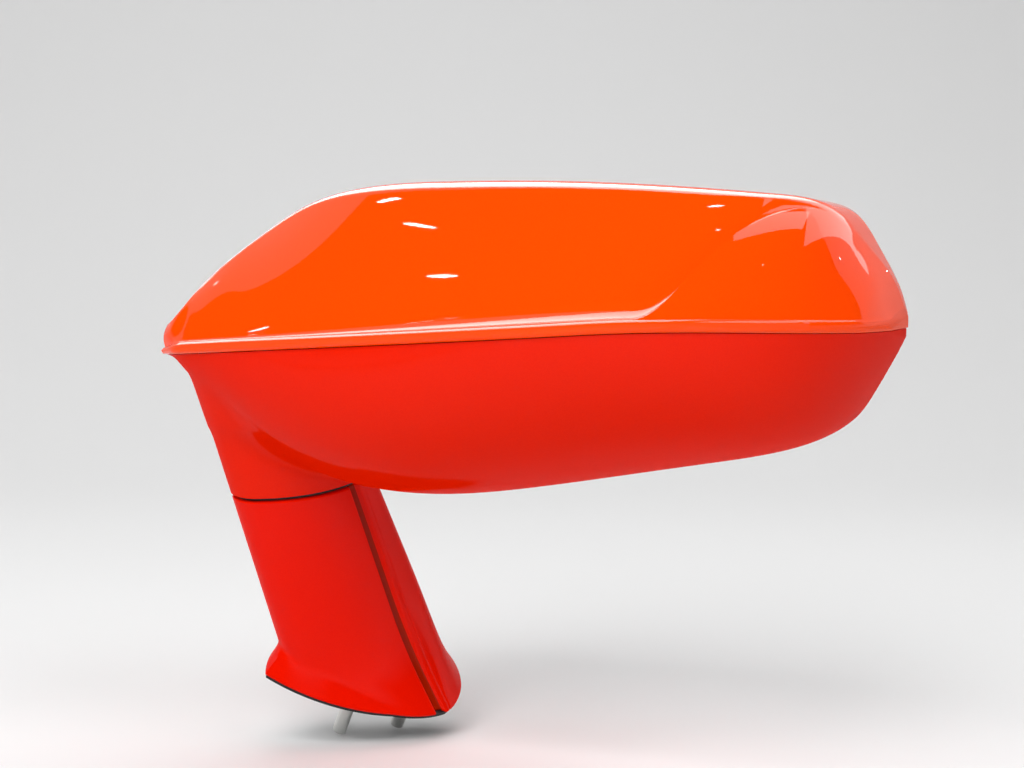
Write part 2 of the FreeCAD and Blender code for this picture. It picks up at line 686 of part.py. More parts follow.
def ear(direction, start, end):
    """Ear with a bore for a gimbal pin: direction X or Z, between two depths."""
    thick = size("ear_thickness")
    wide = size("ear_width")
    depth = end - start
    if direction.z:
        low = EAR_NEAR if direction.z > 0 else -EAR_NEAR - thick
        block = Part.makeBox(wide, depth, thick, Vector(PIVOT.x - wide / 2, start, PIVOT.z + low))
    else:
        low = EAR_NEAR if direction.x > 0 else -EAR_NEAR - thick
        block = Part.makeBox(thick, depth, wide, Vector(PIVOT.x + low, start, PIVOT.z - wide / 2))
    radius = size("gimbal_pin_radius") + size("pin_clearance")
    return block.cut(Part.makeCylinder(radius, 2 * REACH, PIVOT - direction * REACH, direction))


def make_glass_carrier():
    """Plate behind the glass with two ears for the gimbal's level pins."""
    plate = opening_prism(GLASS_INSET - size("carrier_lip"), CARRIER_FRONT, CARRIER_REAR)
    reach = size("ear_width") / 2
    for side in (1, -1):
        plate = plate.fuse(ear(Vector(side, 0, 0), PIVOT.y - reach, CARRIER_FRONT))
    return plate.removeSplitter()


def make_adjuster():
    """Body of the mirror adjuster with two ears for the gimbal's upright pins."""
    wide = size("adjuster_width")
    front = FRAME_REAR
    rear = front + size("adjuster_depth")
    body = Part.makeBox(wide, rear - front, wide, Vector(PIVOT.x - wide / 2, front, PIVOT.z - wide / 2))
    corners = [edge for edge in body.Edges if abs(edge.tangentAt(0).y) > DEPTH_LIMIT]
    body = body.makeFillet(ADJUSTER_ROUND, corners)
    reach = size("ear_width") / 2
    for side in (1, -1):
        body = body.fuse(ear(Vector(0, 0, side), rear, PIVOT.y + reach))
    return body.removeSplitter()


def make_inner_frame():
    """Plate across the housing that carries the adjuster, notched round the pivot housing."""
    plate = opening_prism(FRAME_INSET, FRAME_REAR - size("frame_thickness"), FRAME_REAR)
    keep = Part.makeBox(FRAME_LENGTH, 2 * REACH, 2 * REACH, Vector(FRAME_START, -REACH, -REACH))
    room = cap_cavity(size("fit_gap")).fuse(belly_cavity(size("fit_gap")))
    plate = plate.common(keep).common(room)
    core_top = size("post_above") + POST_COVER + size("fit_gap")
    notched = plate.cut(to_housing(neck_core(size("neck_wall"), core_top)))
    return one_solid(notched.cut(to_housing(make_fold_drive(DRIVE_MARGIN))))


def neck_core(inset, top):
    """Column inside the neck from the seam up to a height over it."""
    core = column(inset).cut(half_space(SEAM_POINT + FOLD_AXIS * size("seam_gap"), FOLD_AXIS))
    return core.common(half_space(SEAM_POINT + FOLD_AXIS * top, FOLD_AXIS))


def make_pivot_housing():
    """Cast block in the neck that turns on the fold post."""
    core = neck_core(size("neck_wall") + size("fit_gap"), size("post_above") + POST_COVER)
    return core.cut(fold_cylinder(size("post_radius") + size("pin_clearance"), -BORE_REACH, BORE_REACH))


def stud_centres():
    """Centres of the mounting studs on the mounting face."""
    rear = (CHORD - DOOR_NORMAL * DOOR_NORMAL.dot(CHORD)).normalize()
    side = DOOR_NORMAL.cross(rear)
    count = int(size("stud_count"))
    spots = []
    for index in range(count):
        angle = 2 * math.pi * index / count + math.pi / 2
        spots.append((rear * math.cos(angle) + side * math.sin(angle)) * size("stud_circle"))
    return spots


def cable_spot():
    """Where the fold axis meets the mounting face."""
    return SEAM_POINT - FOLD_AXIS * (DOOR_NORMAL.dot(SEAM_POINT) / DOOR_NORMAL.dot(FOLD_AXIS))


def door_cylinder(radius, spot, bottom, top):
    """Cylinder square to the door between two heights over the mounting face."""
    return Part.makeCylinder(radius, top - bottom, spot + DOOR_NORMAL * bottom, DOOR_NORMAL)


GROMMET_LENGTH = 10.0
GROMMET_WALL = 2.0
GROMMET_FLANGE = 8.0
GROMMET_FIT = 0.1  # sleeve inside its hole
GROMMET_END = 0.2  # sleeve short of its hole's end
STUD_DEPTH = 10.0
STUD_STEP = 1.0
CORE_DROP = 2.0


def make_gasket():
    """Rubber gasket with holes for the studs and the grommet."""
    face = Part.Face(foot_wire(size("gasket_inset"), 0.0))
    gasket = face.extrude(DOOR_NORMAL * size("gasket_thickness"))
    for spot in stud_centres():
        radius = size("stud_radius") + STUD_STEP + size("fit_gap")
        gasket = gasket.cut(door_cylinder(radius, spot, -HOLE_BELOW, HOLE_RUN))
    return gasket.cut(door_cylinder(GROMMET_FLANGE + size("fit_gap"), cable_spot(), -HOLE_BELOW, HOLE_RUN))


def make_arm_core():
    """Cast core of the arm, bored for the fold post, the cable and the studs."""
    core = arm_form(size("arm_wall") + size("fit_gap"), size("gasket_thickness"), CORE_DROP)
    post_bore = size("post_radius") + size("pin_clearance")
    core = core.cut(fold_cylinder(post_bore, -size("post_below"), HOLE_RUN))
    core = core.cut(fold_cylinder(size("post_bore"), -BORE_REACH, -size("post_below") + POST_OVERLAP))
    grommet_seat = size("cable_radius") + GROMMET_WALL
    core = core.cut(door_cylinder(grommet_seat, cable_spot(), -HOLE_BELOW, GROMMET_LENGTH))
    for spot in stud_centres():
        radius = size("stud_radius") + STUD_STEP + size("pin_clearance")
        core = core.cut(door_cylinder(radius, spot, -HOLE_BELOW, STUD_DEPTH))
    return one_solid(core)


def make_covers():
    """Front cover and rear cover of the arm, the rear one with its groove."""
    lift = size("gasket_thickness")
    shell = arm_form(0.0, lift, 0.0).cut(arm_form(size("arm_wall"), -FORM_RUN, -FORM_RUN))
    start = size("groove_start")
    front = shell.common(chord_slab(-REACH / 2, start))
    rear = shell.common(chord_slab(start + size("cover_gap"), REACH / 2))
    band = arm_form(-CORE_DROP, -FORM_RUN, -FORM_RUN)
    band = band.cut(arm_form(size("groove_depth"), -FORM_RUN, -FORM_RUN))
    band = band.common(chord_slab(start - GROOVE_RUN, start + size("groove_width")))
    return one_solid(front), one_solid(rear.cut(band))


def make_hinge_ring():
    """Black ring in the seam, seated in the covers' top."""
    top = size("seam_gap") - size("fit_gap")
    wide = column(size("ring_inset")).cut(half_space(SEAM_POINT, FOLD_AXIS))
    wide = wide.common(half_space(SEAM_POINT + FOLD_AXIS * top, FOLD_AXIS))
    spigot = column(size("arm_wall") + size("fit_gap"))
    spigot = spigot.cut(half_space(SEAM_POINT - FOLD_AXIS * CORE_DROP, FOLD_AXIS))
    spigot = spigot.common(half_space(SEAM_POINT + FOLD_AXIS * SPIGOT_OVERLAP, FOLD_AXIS))
    post_bore = size("post_radius") + size("pin_clearance")
    ring = wide.fuse(spigot).cut(fold_cylinder(post_bore, -FORM_RUN, FORM_RUN))
    return one_solid(ring)


def body_with(label, placement):
    """Empty body of the document with its placement."""
    body = doc.addObject("PartDesign::Body", label)
    body.Label = label
    body.Placement = placement
    return body


def origin_plane(body, role):
    """One of a body's own origin planes."""
    return [feature for feature in body.Origin.OriginFeatures if feature.Role == role][0]


def sketch_on(body, role, name):
    """Sketch on one of the body's origin planes."""
    sketch = body.newObject("Sketcher::SketchObject", name)
    sketch.AttachmentSupport = [(origin_plane(body, role), "")]
    sketch.MapMode = "FlatFace"
    return sketch


def circle_sketch(body, role, name, expression):
    """Sketch of one circle on the origin whose radius is bound to the sheet."""
    sketch = sketch_on(body, role, name)
    sketch.addGeometry(Part.Circle(Vector(0, 0, 0), Vector(0, 0, 1), FIRST_RADIUS), False)
    sketch.addConstraint(Sketcher.Constraint("Coincident", 0, 3, -1, 1))
    sketch.addConstraint(Sketcher.Constraint("Radius", 0, FIRST_RADIUS))
    sketch.setExpression("Constraints[1]", expression)
    return sketch


def pad_of(body, sketch, name, expression, midplane=False):
    """Pad bound to the sheet."""
    pad = body.newObject("PartDesign::Pad", name)
    pad.Profile = sketch
    pad.Midplane = midplane
    pad.setExpression("Length", expression)
    return pad


def make_gimbal_ring():
    """Ring with two level and two upright pins."""
    body = body_with("gimbal_ring", HOUSING_FRAME.multiply(Placement(PIVOT, Rotation())))
    disc = circle_sketch(body, "XZ_Plane", "GimbalDisc", "Sizes.gimbal_radius")
    pad_of(body, disc, "GimbalDiscPad", "Sizes.gimbal_thickness", True)
    span = "2 * (Sizes.gimbal_radius + Sizes.gimbal_pin_length)"
    for role, name in (("YZ_Plane", "LevelPins"), ("XY_Plane", "UprightPins")):
        pin = circle_sketch(body, role, name, "Sizes.gimbal_pin_radius")
        pad_of(body, pin, name + "Pad", span, True)
    bore = circle_sketch(body, "XZ_Plane", "GimbalBore", "Sizes.gimbal_bore")
    pocket = body.newObject("PartDesign::Pocket", "GimbalBorePocket")
    pocket.Profile = bore
    pocket.Type = "Length"
    pocket.Midplane = True
    pocket.setExpression("Length", "2 * Sizes.gimbal_radius")
    return body


def revolved_body(label, placement, corners):
    """Body turned round its Z axis from named corners of radius and height expressions."""
    body = body_with(label, placement)
    sketch = sketch_on(body, "XZ_Plane", label + "Profile")
    count = len(corners)
    spots = [Vector(radius, height, 0) for radius, height, radius_text, height_text in corners]
    for index in range(count):
        sketch.addGeometry(Part.LineSegment(spots[index], spots[(index + 1) % count]), False)
    for index in range(count):
        sketch.addConstraint(Sketcher.Constraint("Coincident", index, 2, (index + 1) % count, 1))
    for index, (radius, height, radius_text, height_text) in enumerate(corners):
        across = sketch.addConstraint(Sketcher.Constraint("DistanceX", -1, 1, index, 1, radius))
        sketch.setExpression(f"Constraints[{across}]", radius_text)
        if height == 0:
            sketch.addConstraint(Sketcher.Constraint("PointOnObject", index, 1, -1))
        else:
            up = height > 0
            ends = (-1, 1, index, 1) if up else (index, 1, -1, 1)
            rise = sketch.addConstraint(Sketcher.Constraint("DistanceY", *ends, abs(height)))
            sketch.setExpression(f"Constraints[{rise}]", height_text)
    turn = body.newObject("PartDesign::Revolution", label + "Turn")
    turn.Profile = sketch
    turn.ReferenceAxis = (sketch, ["V_Axis"])
    turn.Angle = 360.0
    return body


def make_pivot_post():
    """Hollow post on the fold axis, fixed in the arm."""
    placement = Placement(SEAM_POINT, turned(FOLD_AXIS, Vector(1, 0, 0)))
    outer = size("post_radius")
    bore = size("post_bore")
    low = -size("post_below")
    high = size("post_above")
    corners = [
        (bore, low, "Sizes.post_bore", "Sizes.post_below"),
        (outer, low, "Sizes.post_radius", "Sizes.post_below"),
        (outer, high, "Sizes.post_radius", "Sizes.post_above"),
        (bore, high, "Sizes.post_bore", "Sizes.post_above"),
    ]
    return revolved_body("pivot_post", placement, corners)


def make_grommet():
    """Rubber cable grommet in the foot."""
    placement = Placement(cable_spot(), turned(DOOR_NORMAL, Vector(1, 0, 0)))
    bore = size("cable_radius")
    sleeve = bore + GROMMET_WALL - GROMMET_FIT
    wall = f"Sizes.cable_radius + {GROMMET_WALL - GROMMET_FIT}"
    top = GROMMET_LENGTH - GROMMET_END
    flange = size("gasket_thickness")
    corners = [
        (bore, 0.0, "Sizes.cable_radius", "0"),
        (GROMMET_FLANGE, 0.0, str(GROMMET_FLANGE), "0"),
        (GROMMET_FLANGE, flange, str(GROMMET_FLANGE), "Sizes.gasket_thickness"),
        (sleeve, flange, wall, "Sizes.gasket_thickness"),
        (sleeve, top, wall, str(top)),
        (bore, top, "Sizes.cable_radius", str(top)),
    ]
    return revolved_body("cable_grommet", placement, corners)


def make_glass():
    """Flat mirror glass cut to the opening."""
    placement = HOUSING_FRAME.multiply(Placement(Vector(0, GLASS_FACE, 0), Rotation(Vector(1, 0, 0), 90)))
    body = body_with("mirror_glass", placement)
    sketch = sketch_on(body, "XY_Plane", "GlassOutline")
    flat = Rotation(Vector(1, 0, 0), -90)
    outline = opening_wire(GLASS_INSET, 0.0)
    for edge in outline.Edges:
        low = flat.multVec(edge.valueAt(edge.FirstParameter))
        high = flat.multVec(edge.valueAt(edge.LastParameter))
        middle = flat.multVec(edge.valueAt((edge.FirstParameter + edge.LastParameter) / 2))
        if isinstance(edge.Curve, Part.Line):
            sketch.addGeometry(Part.LineSegment(low, high), False)
        else:
            sketch.addGeometry(Part.Arc(low, middle, high), False)
    pad_of(body, sketch, "GlassPad", "Sizes.glass_thickness")
    return body


def make_studs():
    """Mounting studs under the foot, each with a thicker shank in the core."""
    upright = turned(DOOR_NORMAL, Vector(1, 0, 0))
    studs = []
    for index, spot in enumerate(stud_centres(), start=1):
        stud = doc.addObject("Part::Cylinder", f"Stud{index}")
        stud.setExpression("Radius", "Sizes.stud_radius")
        stud.setExpression("Height", "Sizes.stud_length")
        stud.Placement = Placement(spot - DOOR_NORMAL * size("stud_length"), upright)
        shank = doc.addObject("Part::Cylinder", f"Shank{index}")
        shank.setExpression("Radius", f"Sizes.stud_radius + {STUD_STEP}")
        shank.Height = STUD_DEPTH - size("fit_gap")
        shank.Placement = Placement(spot, upright)
        studs += [stud, shank]
    group = doc.addObject("Part::MultiFuse", "mount_studs")
    group.Label = "mount_studs"
    group.Shapes = studs
    return group


def make_fold_drive(margin):
    """Plain block of the fold drive on the pivot housing, grown by a margin."""
    wide, deep, high = [span + 2 * margin for span in DRIVE_SIZE]
    block = Part.makeBox(wide, deep, high, Vector(-wide / 2, -deep / 2, -margin))
    spot = SEAM_POINT + FOLD_AXIS * (size("post_above") + POST_COVER)
    along = HOUSING_FRAME.Rotation.multVec(Vector(1, 0, 0))
    rear = HOUSING_FRAME.Rotation.multVec(Vector(0, 1, 0))
    shift = (rear - FOLD_AXIS * FOLD_AXIS.dot(rear)) * DRIVE_SHIFT
    block.Placement = Placement(spot + shift, turned(FOLD_AXIS, along))
    return block


front_cover, rear_cover = make_covers()
parts = [
    add_shape("foot_gasket", make_gasket()),
    add_shape("arm_core", make_arm_core()),
    make_studs(),
    make_grommet(),
    add_shape("arm_front_cover", front_cover),
    add_shape("arm_rear_cover", rear_cover),
    make_pivot_post(),
    add_shape("hinge_ring", make_hinge_ring()),
    add_shape("lower_shell", make_lower_shell(), HOUSING_FRAME),
    add_shape("upper_cap", make_upper_cap(), HOUSING_FRAME),
    add_shape("rim_bezel", make_bezel(), HOUSING_FRAME),
    add_shape("inner_frame", make_inner_frame(), HOUSING_FRAME),
    add_shape("pivot_housing", make_pivot_housing()),
    add_shape("fold_drive", make_fold_drive(0.0)),
    add_shape("adjuster_body", make_adjuster(), HOUSING_FRAME),
    make_gimbal_ring(),
    add_shape("glass_carrier", make_glass_carrier(), HOUSING_FRAME),
    make_glass(),
]
doc.recompute()

for item in doc.Objects:
    if "Invalid" in item.State or "Error" in item.State:
        raise RuntimeError(f"{item.Name} failed: {item.State}")
os.makedirs("parts", exist_ok=True)
for item in parts:
    shape = item.Shape
    if shape.isNull() or not shape.isValid() or not shape.Solids:
        raise RuntimeError(f"{item.Label} has no valid solid")
for item in parts:
    item.Shape.exportStep(f"parts/{item.Label}.step")
    print(item.Label, len(item.Shape.Solids), "solid", round(item.Shape.Volume / 1000, 2), "cm3")
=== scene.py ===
"""Looks of the car door mirror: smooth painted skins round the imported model, its studio and its camera.

Metres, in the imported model's frame: +X outboard from the car, +Y rearward out of the glass, +Z up.
The origin is the middle of the foot's mounting face. The housing is built in its own frame and turned.
"""

import math

import bmesh
import bpy
import numpy as np
from mathutils import Matrix, Vector
from mathutils.bvhtree import BVHTree


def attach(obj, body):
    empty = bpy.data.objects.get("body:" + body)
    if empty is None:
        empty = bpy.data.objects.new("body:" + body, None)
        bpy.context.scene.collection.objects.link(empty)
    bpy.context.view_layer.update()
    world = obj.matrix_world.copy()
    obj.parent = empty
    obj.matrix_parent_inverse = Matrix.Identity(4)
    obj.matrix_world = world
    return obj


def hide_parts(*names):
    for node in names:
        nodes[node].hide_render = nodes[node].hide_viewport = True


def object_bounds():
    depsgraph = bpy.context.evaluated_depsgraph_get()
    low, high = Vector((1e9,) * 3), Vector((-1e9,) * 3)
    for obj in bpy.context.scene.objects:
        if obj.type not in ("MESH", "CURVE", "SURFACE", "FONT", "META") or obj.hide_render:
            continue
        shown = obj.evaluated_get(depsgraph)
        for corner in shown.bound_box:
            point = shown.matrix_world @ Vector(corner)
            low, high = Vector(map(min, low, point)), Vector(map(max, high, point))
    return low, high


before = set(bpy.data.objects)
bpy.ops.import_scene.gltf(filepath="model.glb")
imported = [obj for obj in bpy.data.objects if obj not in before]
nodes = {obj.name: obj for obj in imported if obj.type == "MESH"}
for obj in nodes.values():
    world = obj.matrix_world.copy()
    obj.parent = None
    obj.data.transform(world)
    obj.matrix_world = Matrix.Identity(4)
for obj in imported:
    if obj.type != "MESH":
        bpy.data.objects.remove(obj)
cad_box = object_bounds()

# Sizes shared with the part's source.
ARM_HEIGHT = 0.0886  # seam on the arm's centre line above the mounting face
BEAD_HEIGHT = 0.151  # housing's centre of turn above the mounting face
RAKE_FORWARD = math.tan(math.radians(21.0))
RAKE_INBOARD = math.tan(math.radians(3.4))
FOLD_FORWARD = math.tan(math.radians(10.1))
FOLD_OUTBOARD = math.tan(math.radians(6.4))
DOOR_SLOPE_OUT = math.tan(math.radians(30.0))
DOOR_SLOPE_REAR = math.tan(math.radians(6.0))
TOE = math.radians(16.0)
CHORD_TURN = math.radians(15.0)
CHORD_FOOT = 0.039
CHORD_SEAM = 0.0338
CHORD_SETBACK = 0.0022
ARM_HALF_WIDTH = 0.0195
ARM_NOSE = 0.012
SEAM_GAP = 0.0018
NECK_WALL = 0.004
SHELL_WALL = 0.003
RIM_FRONT = 0.048
OVERRUN = 0.012
HOLLOW_START = 0.075
HOLLOW_END = 0.959
SPLIT_GAP = 0.0003
BEAD_DROP = 0.0004  # split line under the lip's foot
LIP_OVERHANG = 0.0018
LIP_HEIGHT = 0.005
LIP_ROUND = 0.0024
RIM_PLANE = 0.063
SIDE_PLANE = -0.030
HOUSING_LENGTH = 0.2915
HOUSING_DEPTH = 0.118
CAP_HEIGHT = 0.0665
BELLY_DEPTH = 0.0605
TIP_REACH = 0.030
BEAD_SLOPE = math.tan(math.radians(4.3))
BEAD_BEND = 0.170
BEAD_RADIUS = 0.526
DECK_DROP = 0.0026
BELLY_RISE = 0.005
FACE_TURN = math.radians(34.0)
FACE_SAG = 0.0016
LIP_SET = 0.0019  # lip's edge behind the prow
LIP_THINNING = ((-0.030, -0.015), (0.55, 1.0))  # places along the housing, and the lip's share of its height
LIP_FOOT = ((0.0012, 0.0), (0.0004, 0.0005), (0.0, 0.0011))  # behind the prow, and over the split line
LIP_UNDERSIDE = 0.003  # how far the cap's underside runs on behind the shell's edge
LIP_BULGE = 0.0002
LIP_SHOULDER = ((0.0, 0.0011), (LIP_SET / 2, 0.0004))  # behind the prow, and under the lip's edge
NEAR_LIP = 0.12  # share of the face that has closer columns
LEAST_CROWN_TURN = math.radians(8.0)
DECK_SHARES = (0.2, 0.4, 0.6, 0.8)
RIM_ROUND = 0.0015
COVE_DEPTH = 0.9  # of the station's cove
COVE_RISE = 1.25
VALLEY_WIDTHS = ((-0.060, -0.036, -0.012), (0.005, 0.017, 0.003))  # heights, and rounding from neck to belly
CROWN_EASE = 1.35  # crown's round, over the table's
LEAST_BELLY = 0.002  # belly's least depth under the split line
LEAST_CORNER = 0.002  # least corner radius of the opening
HOLLOW_STRIDE = 12  # rows of the station table from one section of the cap's hollow to the next
HOLLOW_STEP = 0.001
OPENING_DEPTHS = (RIM_FRONT - 0.004, 0.09)
THROAT_HEIGHTS = (ARM_HEIGHT - 0.03, BEAD_HEIGHT + 0.04)
SIDE_EDGE = 0.002  # roundings of the shell's flat side and of its rim
RIM_EDGE = 0.0025

# Stations of the housing as in the part's source, but fuller at the outboard end: along, prow, crown, its
# height, keel and its depth in hundredths of the sizes above, the crown's round and the cove in millimetres.
STATIONS = np.array([
    (0.0, 77.1, 72.9, 10.0, 63.6, 10.0, 1.0, 0.6),
    (2.0, 80.9, 76.3, 14.3, 66.0, 15.0, 1.2, 0.6),
    (4.1, 84.7, 69.5, 30.8, 60.2, 30.0, 1.6, 0.7),
    (7.5, 86.9, 61.9, 49.3, 53.4, 48.0, 2.5, 0.8),
    (12.2, 89.0, 54.7, 67.7, 49.2, 67.0, 4.0, 1.0),
    (18.4, 91.1, 48.7, 85.7, 47.0, 86.0, 8.0, 1.3),
    (27.2, 94.1, 46.6, 95.9, 48.3, 97.4, 14.0, 2.0),
    (40.8, 97.9, 46.6, 99.6, 48.3, 100.0, 18.0, 3.4),
    (54.4, 100.0, 47.5, 100.0, 45.8, 91.9, 19.0, 5.0),
    (68.0, 99.2, 45.8, 98.3, 43.2, 80.3, 19.0, 6.4),
    (78.2, 93.2, 41.9, 95.6, 39.0, 71.7, 18.0, 7.0),
    (85.7, 83.5, 37.3, 92.9, 33.0, 65.0, 15.0, 7.0),
    (91.8, 69.5, 28.0, 87.0, 22.0, 54.0, 12.0, 7.0),
    (95.9, 54.0, 17.0, 65.0, 12.0, 29.0, 10.0, 7.0),
    (98.6, 38.0, 8.0, 44.0, 6.0, 5.0, 5.0, 7.0),
    (100.0, 20.0, 4.0, 25.0, 3.0, -9.0, 2.0, 7.0),
])

# The crease between the scoop and the bulge: along the housing and height on the cap's face.
CREASE = np.array([
    (0.191, 0.0), (0.195, 0.02), (0.199, 0.075), (0.203, 0.17), (0.208, 0.33), (0.214, 0.52), (0.2185, 0.65),
    (0.226, 0.81), (0.233, 0.93), (0.240, 1.0),
])

# Outline of the foot on the door, seen from above: middle and end of each edge, from the end of the nose's
# outboard edge round over the tail.
FOOT_START = (0.0218, -0.0106)
FOOT_EDGES = [
    ((0.0276, 0.0020), (0.0296, 0.0150)),
    ((0.0195, 0.0340), (0.0030, 0.0425)),
    ((-0.0175, 0.0250), (-0.0270, -0.0020)),
    ((-0.0285, -0.0300), (-0.0170, -0.0495)),
    ((0.0044, -0.0356), (0.0218, -0.0106)),
]
GASKET = 0.0016
SKIRT = 0.001
FLARE_MIDDLE = 0.020  # flare's height over the door at the middle of the chord
FLARE_RISE = 0.007  # and how much more at the tail
COVER_WALL = 0.0042
GROOVE_START = 0.0105
COVER_GAP = 0.0006
EDGE_ROUND = 0.001  # rounding of the front cover's edge
# Fillet's share of the flare at places along the chord.
FLARE_FILLET = ((-0.039, -0.020, 0.0, 0.039), (0.12, 0.25, 0.55, 0.65))
# Depth of the rear cover's groove and bead at distances from its edge.
GROOVE_DEPTH = (
    (0.0, 0.0028, 0.0032, 0.0040, 0.0048, 0.0054, 0.0074, 0.0079, 0.0084),
    (0.0026, 0.0026, 0.0024, 0.0013, 0.0002, 0.0, 0.0, 0.00035, 0.0))

# Edges sharper than these, in degrees, stay crisp: skins made of rows, and those drawn from a field.
ROW_CRISP = 30.0
FIELD_CRISP = 50.0

# Corners of the opening in the rim plane: along the housing, height and corner radius.
OPENING = [
    (0.004, 0.033, 0.014),
    (0.040, 0.0575, 0.030),
    (0.130, 0.0605, 0.160),
    (0.234, 0.0525, 0.010),
    (0.255, 0.014, 0.010),
    (0.237, -0.022, 0.012),
    (0.165, -0.040, 0.120),
    (0.092, -0.0495, 0.040),
    (0.026, -0.045, 0.020),
    (0.004, -0.024, 0.014),
]

ARM_LEAN = Vector((-RAKE_INBOARD, -RAKE_FORWARD, 1.0))
SEAM_POINT = ARM_LEAN * ARM_HEIGHT
FOLD_AXIS = Vector((FOLD_OUTBOARD, -FOLD_FORWARD, 1.0)).normalized()
DOOR_NORMAL = Vector((DOOR_SLOPE_OUT, -DOOR_SLOPE_REAR, 1.0)).normalized()
HOUSING = Matrix.Translation(ARM_LEAN * BEAD_HEIGHT) @ Matrix.Rotation(TOE, 4, "Z")
CHORD = Vector((math.sin(CHORD_TURN), math.cos(CHORD_TURN), 0))
ACROSS = Vector((math.cos(CHORD_TURN), -math.sin(CHORD_TURN), 0))


# Meshes from rows of points.

def mesh_object(name, points, faces, body, sharp=40.0):
    """Smooth-shaded object with edges sharper than an angle kept crisp."""
    mesh = bpy.data.meshes.new(name)
    mesh.from_pydata([tuple(p) for p in points], [], [tuple(f) for f in faces])
    mesh.validate()
    mesh.update()
    thing = bpy.data.objects.new(name, mesh)
    bpy.context.scene.collection.objects.link(thing)
    for face in mesh.polygons:
        face.use_smooth = True
    mesh.set_sharp_from_angle(angle=math.radians(sharp))
    if body:
        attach(thing, body)
    return thing


def grid_faces(rows, columns, closed):
    """Quads of a grid of rows, each row closed on itself or open."""
    faces = []
    last = columns if closed else columns - 1
    for i in range(rows - 1):
        for j in range(last):
            k = (j + 1) % columns
            faces.append((i * columns + j, i * columns + k, (i + 1) * columns + k, (i + 1) * columns + j))
    return faces


def merged(points, faces, gap=2e-6):
    """The same faces with points that coincide made one."""
    keys = {}
    place = []
    kept = []
    for p in points:
        key = tuple(np.round(np.asarray(p) / gap).astype(np.int64))
        if key not in keys:
            keys[key] = len(kept)
            kept.append(p)
        place.append(keys[key])
    clean = []
    for face in faces:
        corners = []
        for corner in face:
            spot = place[corner]
            if spot not in corners:
                corners.append(spot)
        if len(corners) > 2:
            clean.append(corners)
    return kept, clean


# Sections of the housing.

def natural_spline(knots, values):
    """Bends of a natural cubic spline through rows of values."""
    count = len(knots)
    step = np.diff(knots)[:, None]
    system = np.eye(count)
    goal = np.zeros_like(values)
    for i in range(1, count - 1):
        system[i, i - 1] = step[i - 1, 0]
        system[i, i] = 2 * (step[i - 1, 0] + step[i, 0])
        system[i, i + 1] = step[i, 0]
        goal[i] = 6 * ((values[i + 1] - values[i]) / step[i] - (values[i] - values[i - 1]) / step[i - 1])
    return np.linalg.solve(system, goal)


def spline_at(knots, values, bends, at):
    """Points of the spline."""
    i = np.clip(np.searchsorted(knots, at) - 1, 0, len(knots) - 2)
    step = (knots[i + 1] - knots[i])[:, None]
    a = (knots[i + 1] - at)[:, None]
    b = (at - knots[i])[:, None]
    curve = (bends[i] * a ** 3 + bends[i + 1] * b ** 3) / (6 * step)
    low = (values[i] / step - bends[i] * step / 6) * a
    high = (values[i + 1] / step - bends[i + 1] * step / 6) * b
    return curve + low + high


def bead_level(along):
    """Height of the split line at a station, under the cap's lip."""
    past = np.maximum(0.0, along - BEAD_BEND)
    return BEAD_SLOPE * (along + TIP_REACH) - past ** 2 / (2 * BEAD_RADIUS) - LIP_HEIGHT - BEAD_DROP


def dense_stations(count):
    """Station values along the housing, denser where the form turns, as columns in metres."""
    t = STATIONS
    table = np.stack([
        HOUSING_LENGTH * t[:, 0] / 100 - TIP_REACH,
        RIM_PLANE - HOUSING_DEPTH * t[:, 1] / 100,
        RIM_PLANE - HOUSING_DEPTH * t[:, 2] / 100,
        CAP_HEIGHT * t[:, 3] / 100,
        RIM_PLANE - HOUSING_DEPTH * t[:, 4] / 100,
        -BELLY_DEPTH * t[:, 5] / 100,
        t[:, 6] / 1000 * CROWN_EASE,
        t[:, 7] / 1000,
    ], 1)
    step = np.linalg.norm(np.diff(table[:, [0, 1, 3, 5]], axis=0), axis=1)
    knots = np.concatenate([[0], np.cumsum(step)])
    bends = natural_spline(knots, table)
    return spline_at(knots, table, bends, np.linspace(0, knots[-1], count))


STATION_COUNT = 3000
STATION_TABLE = dense_stations(STATION_COUNT)


def station(along):
    """Station values at places along the housing."""
    names = ("along", "prow", "crown", "top", "keel", "bottom", "round", "cove")
    places = STATION_TABLE[:, 0]
    values = {name: np.interp(along, places, STATION_TABLE[:, i]) for i, name in enumerate(names)}
    values["bead"] = bead_level(values["along"])
    return values


def arc_points(start, leave, end, shares):
    """Points of the arc that leaves start along an angle and ends at end: one row per station."""
    chord = end - start
    reach = np.hypot(chord[:, 0], chord[:, 1])
    heading = np.arctan2(chord[:, 1], chord[:, 0])
    turn = (heading - leave + np.pi) % (2 * np.pi) - np.pi
    small = np.abs(turn) < 1e-6
    turn = np.where(small, 1e-6, turn)
    out = []
    for share in shares:
        length = reach * np.sin(turn * share) / np.sin(turn)
        angle = leave + turn * share
        out.append(start + np.stack([length * np.cos(angle), length * np.sin(angle)], 1))
    return np.stack(out, 1)


def straight_points(start, end, shares):
    """Points on the straight line from start to end: one row per station."""
    shares = np.asarray(shares)[None, :, None]
    return start[:, None, :] * (1 - shares) + end[:, None, :] * shares


CAP_ROWS = 300
FACE_SHARES = np.concatenate([np.linspace(0, NEAR_LIP, 14), np.linspace(NEAR_LIP, 1, 34)[1:]])
COVE_SHARES = np.sin(np.linspace(0, np.pi / 2, 9)) ** 2


def pair(y, z):
    """Section points from their depths and heights."""
    return np.stack([y, z], 1)


def turned_back(start, angle, radius):
    """Point of the crown's round, from its start down through an angle."""
    return start + pair(-radius * np.sin(angle), -radius * (1 - np.cos(angle)))


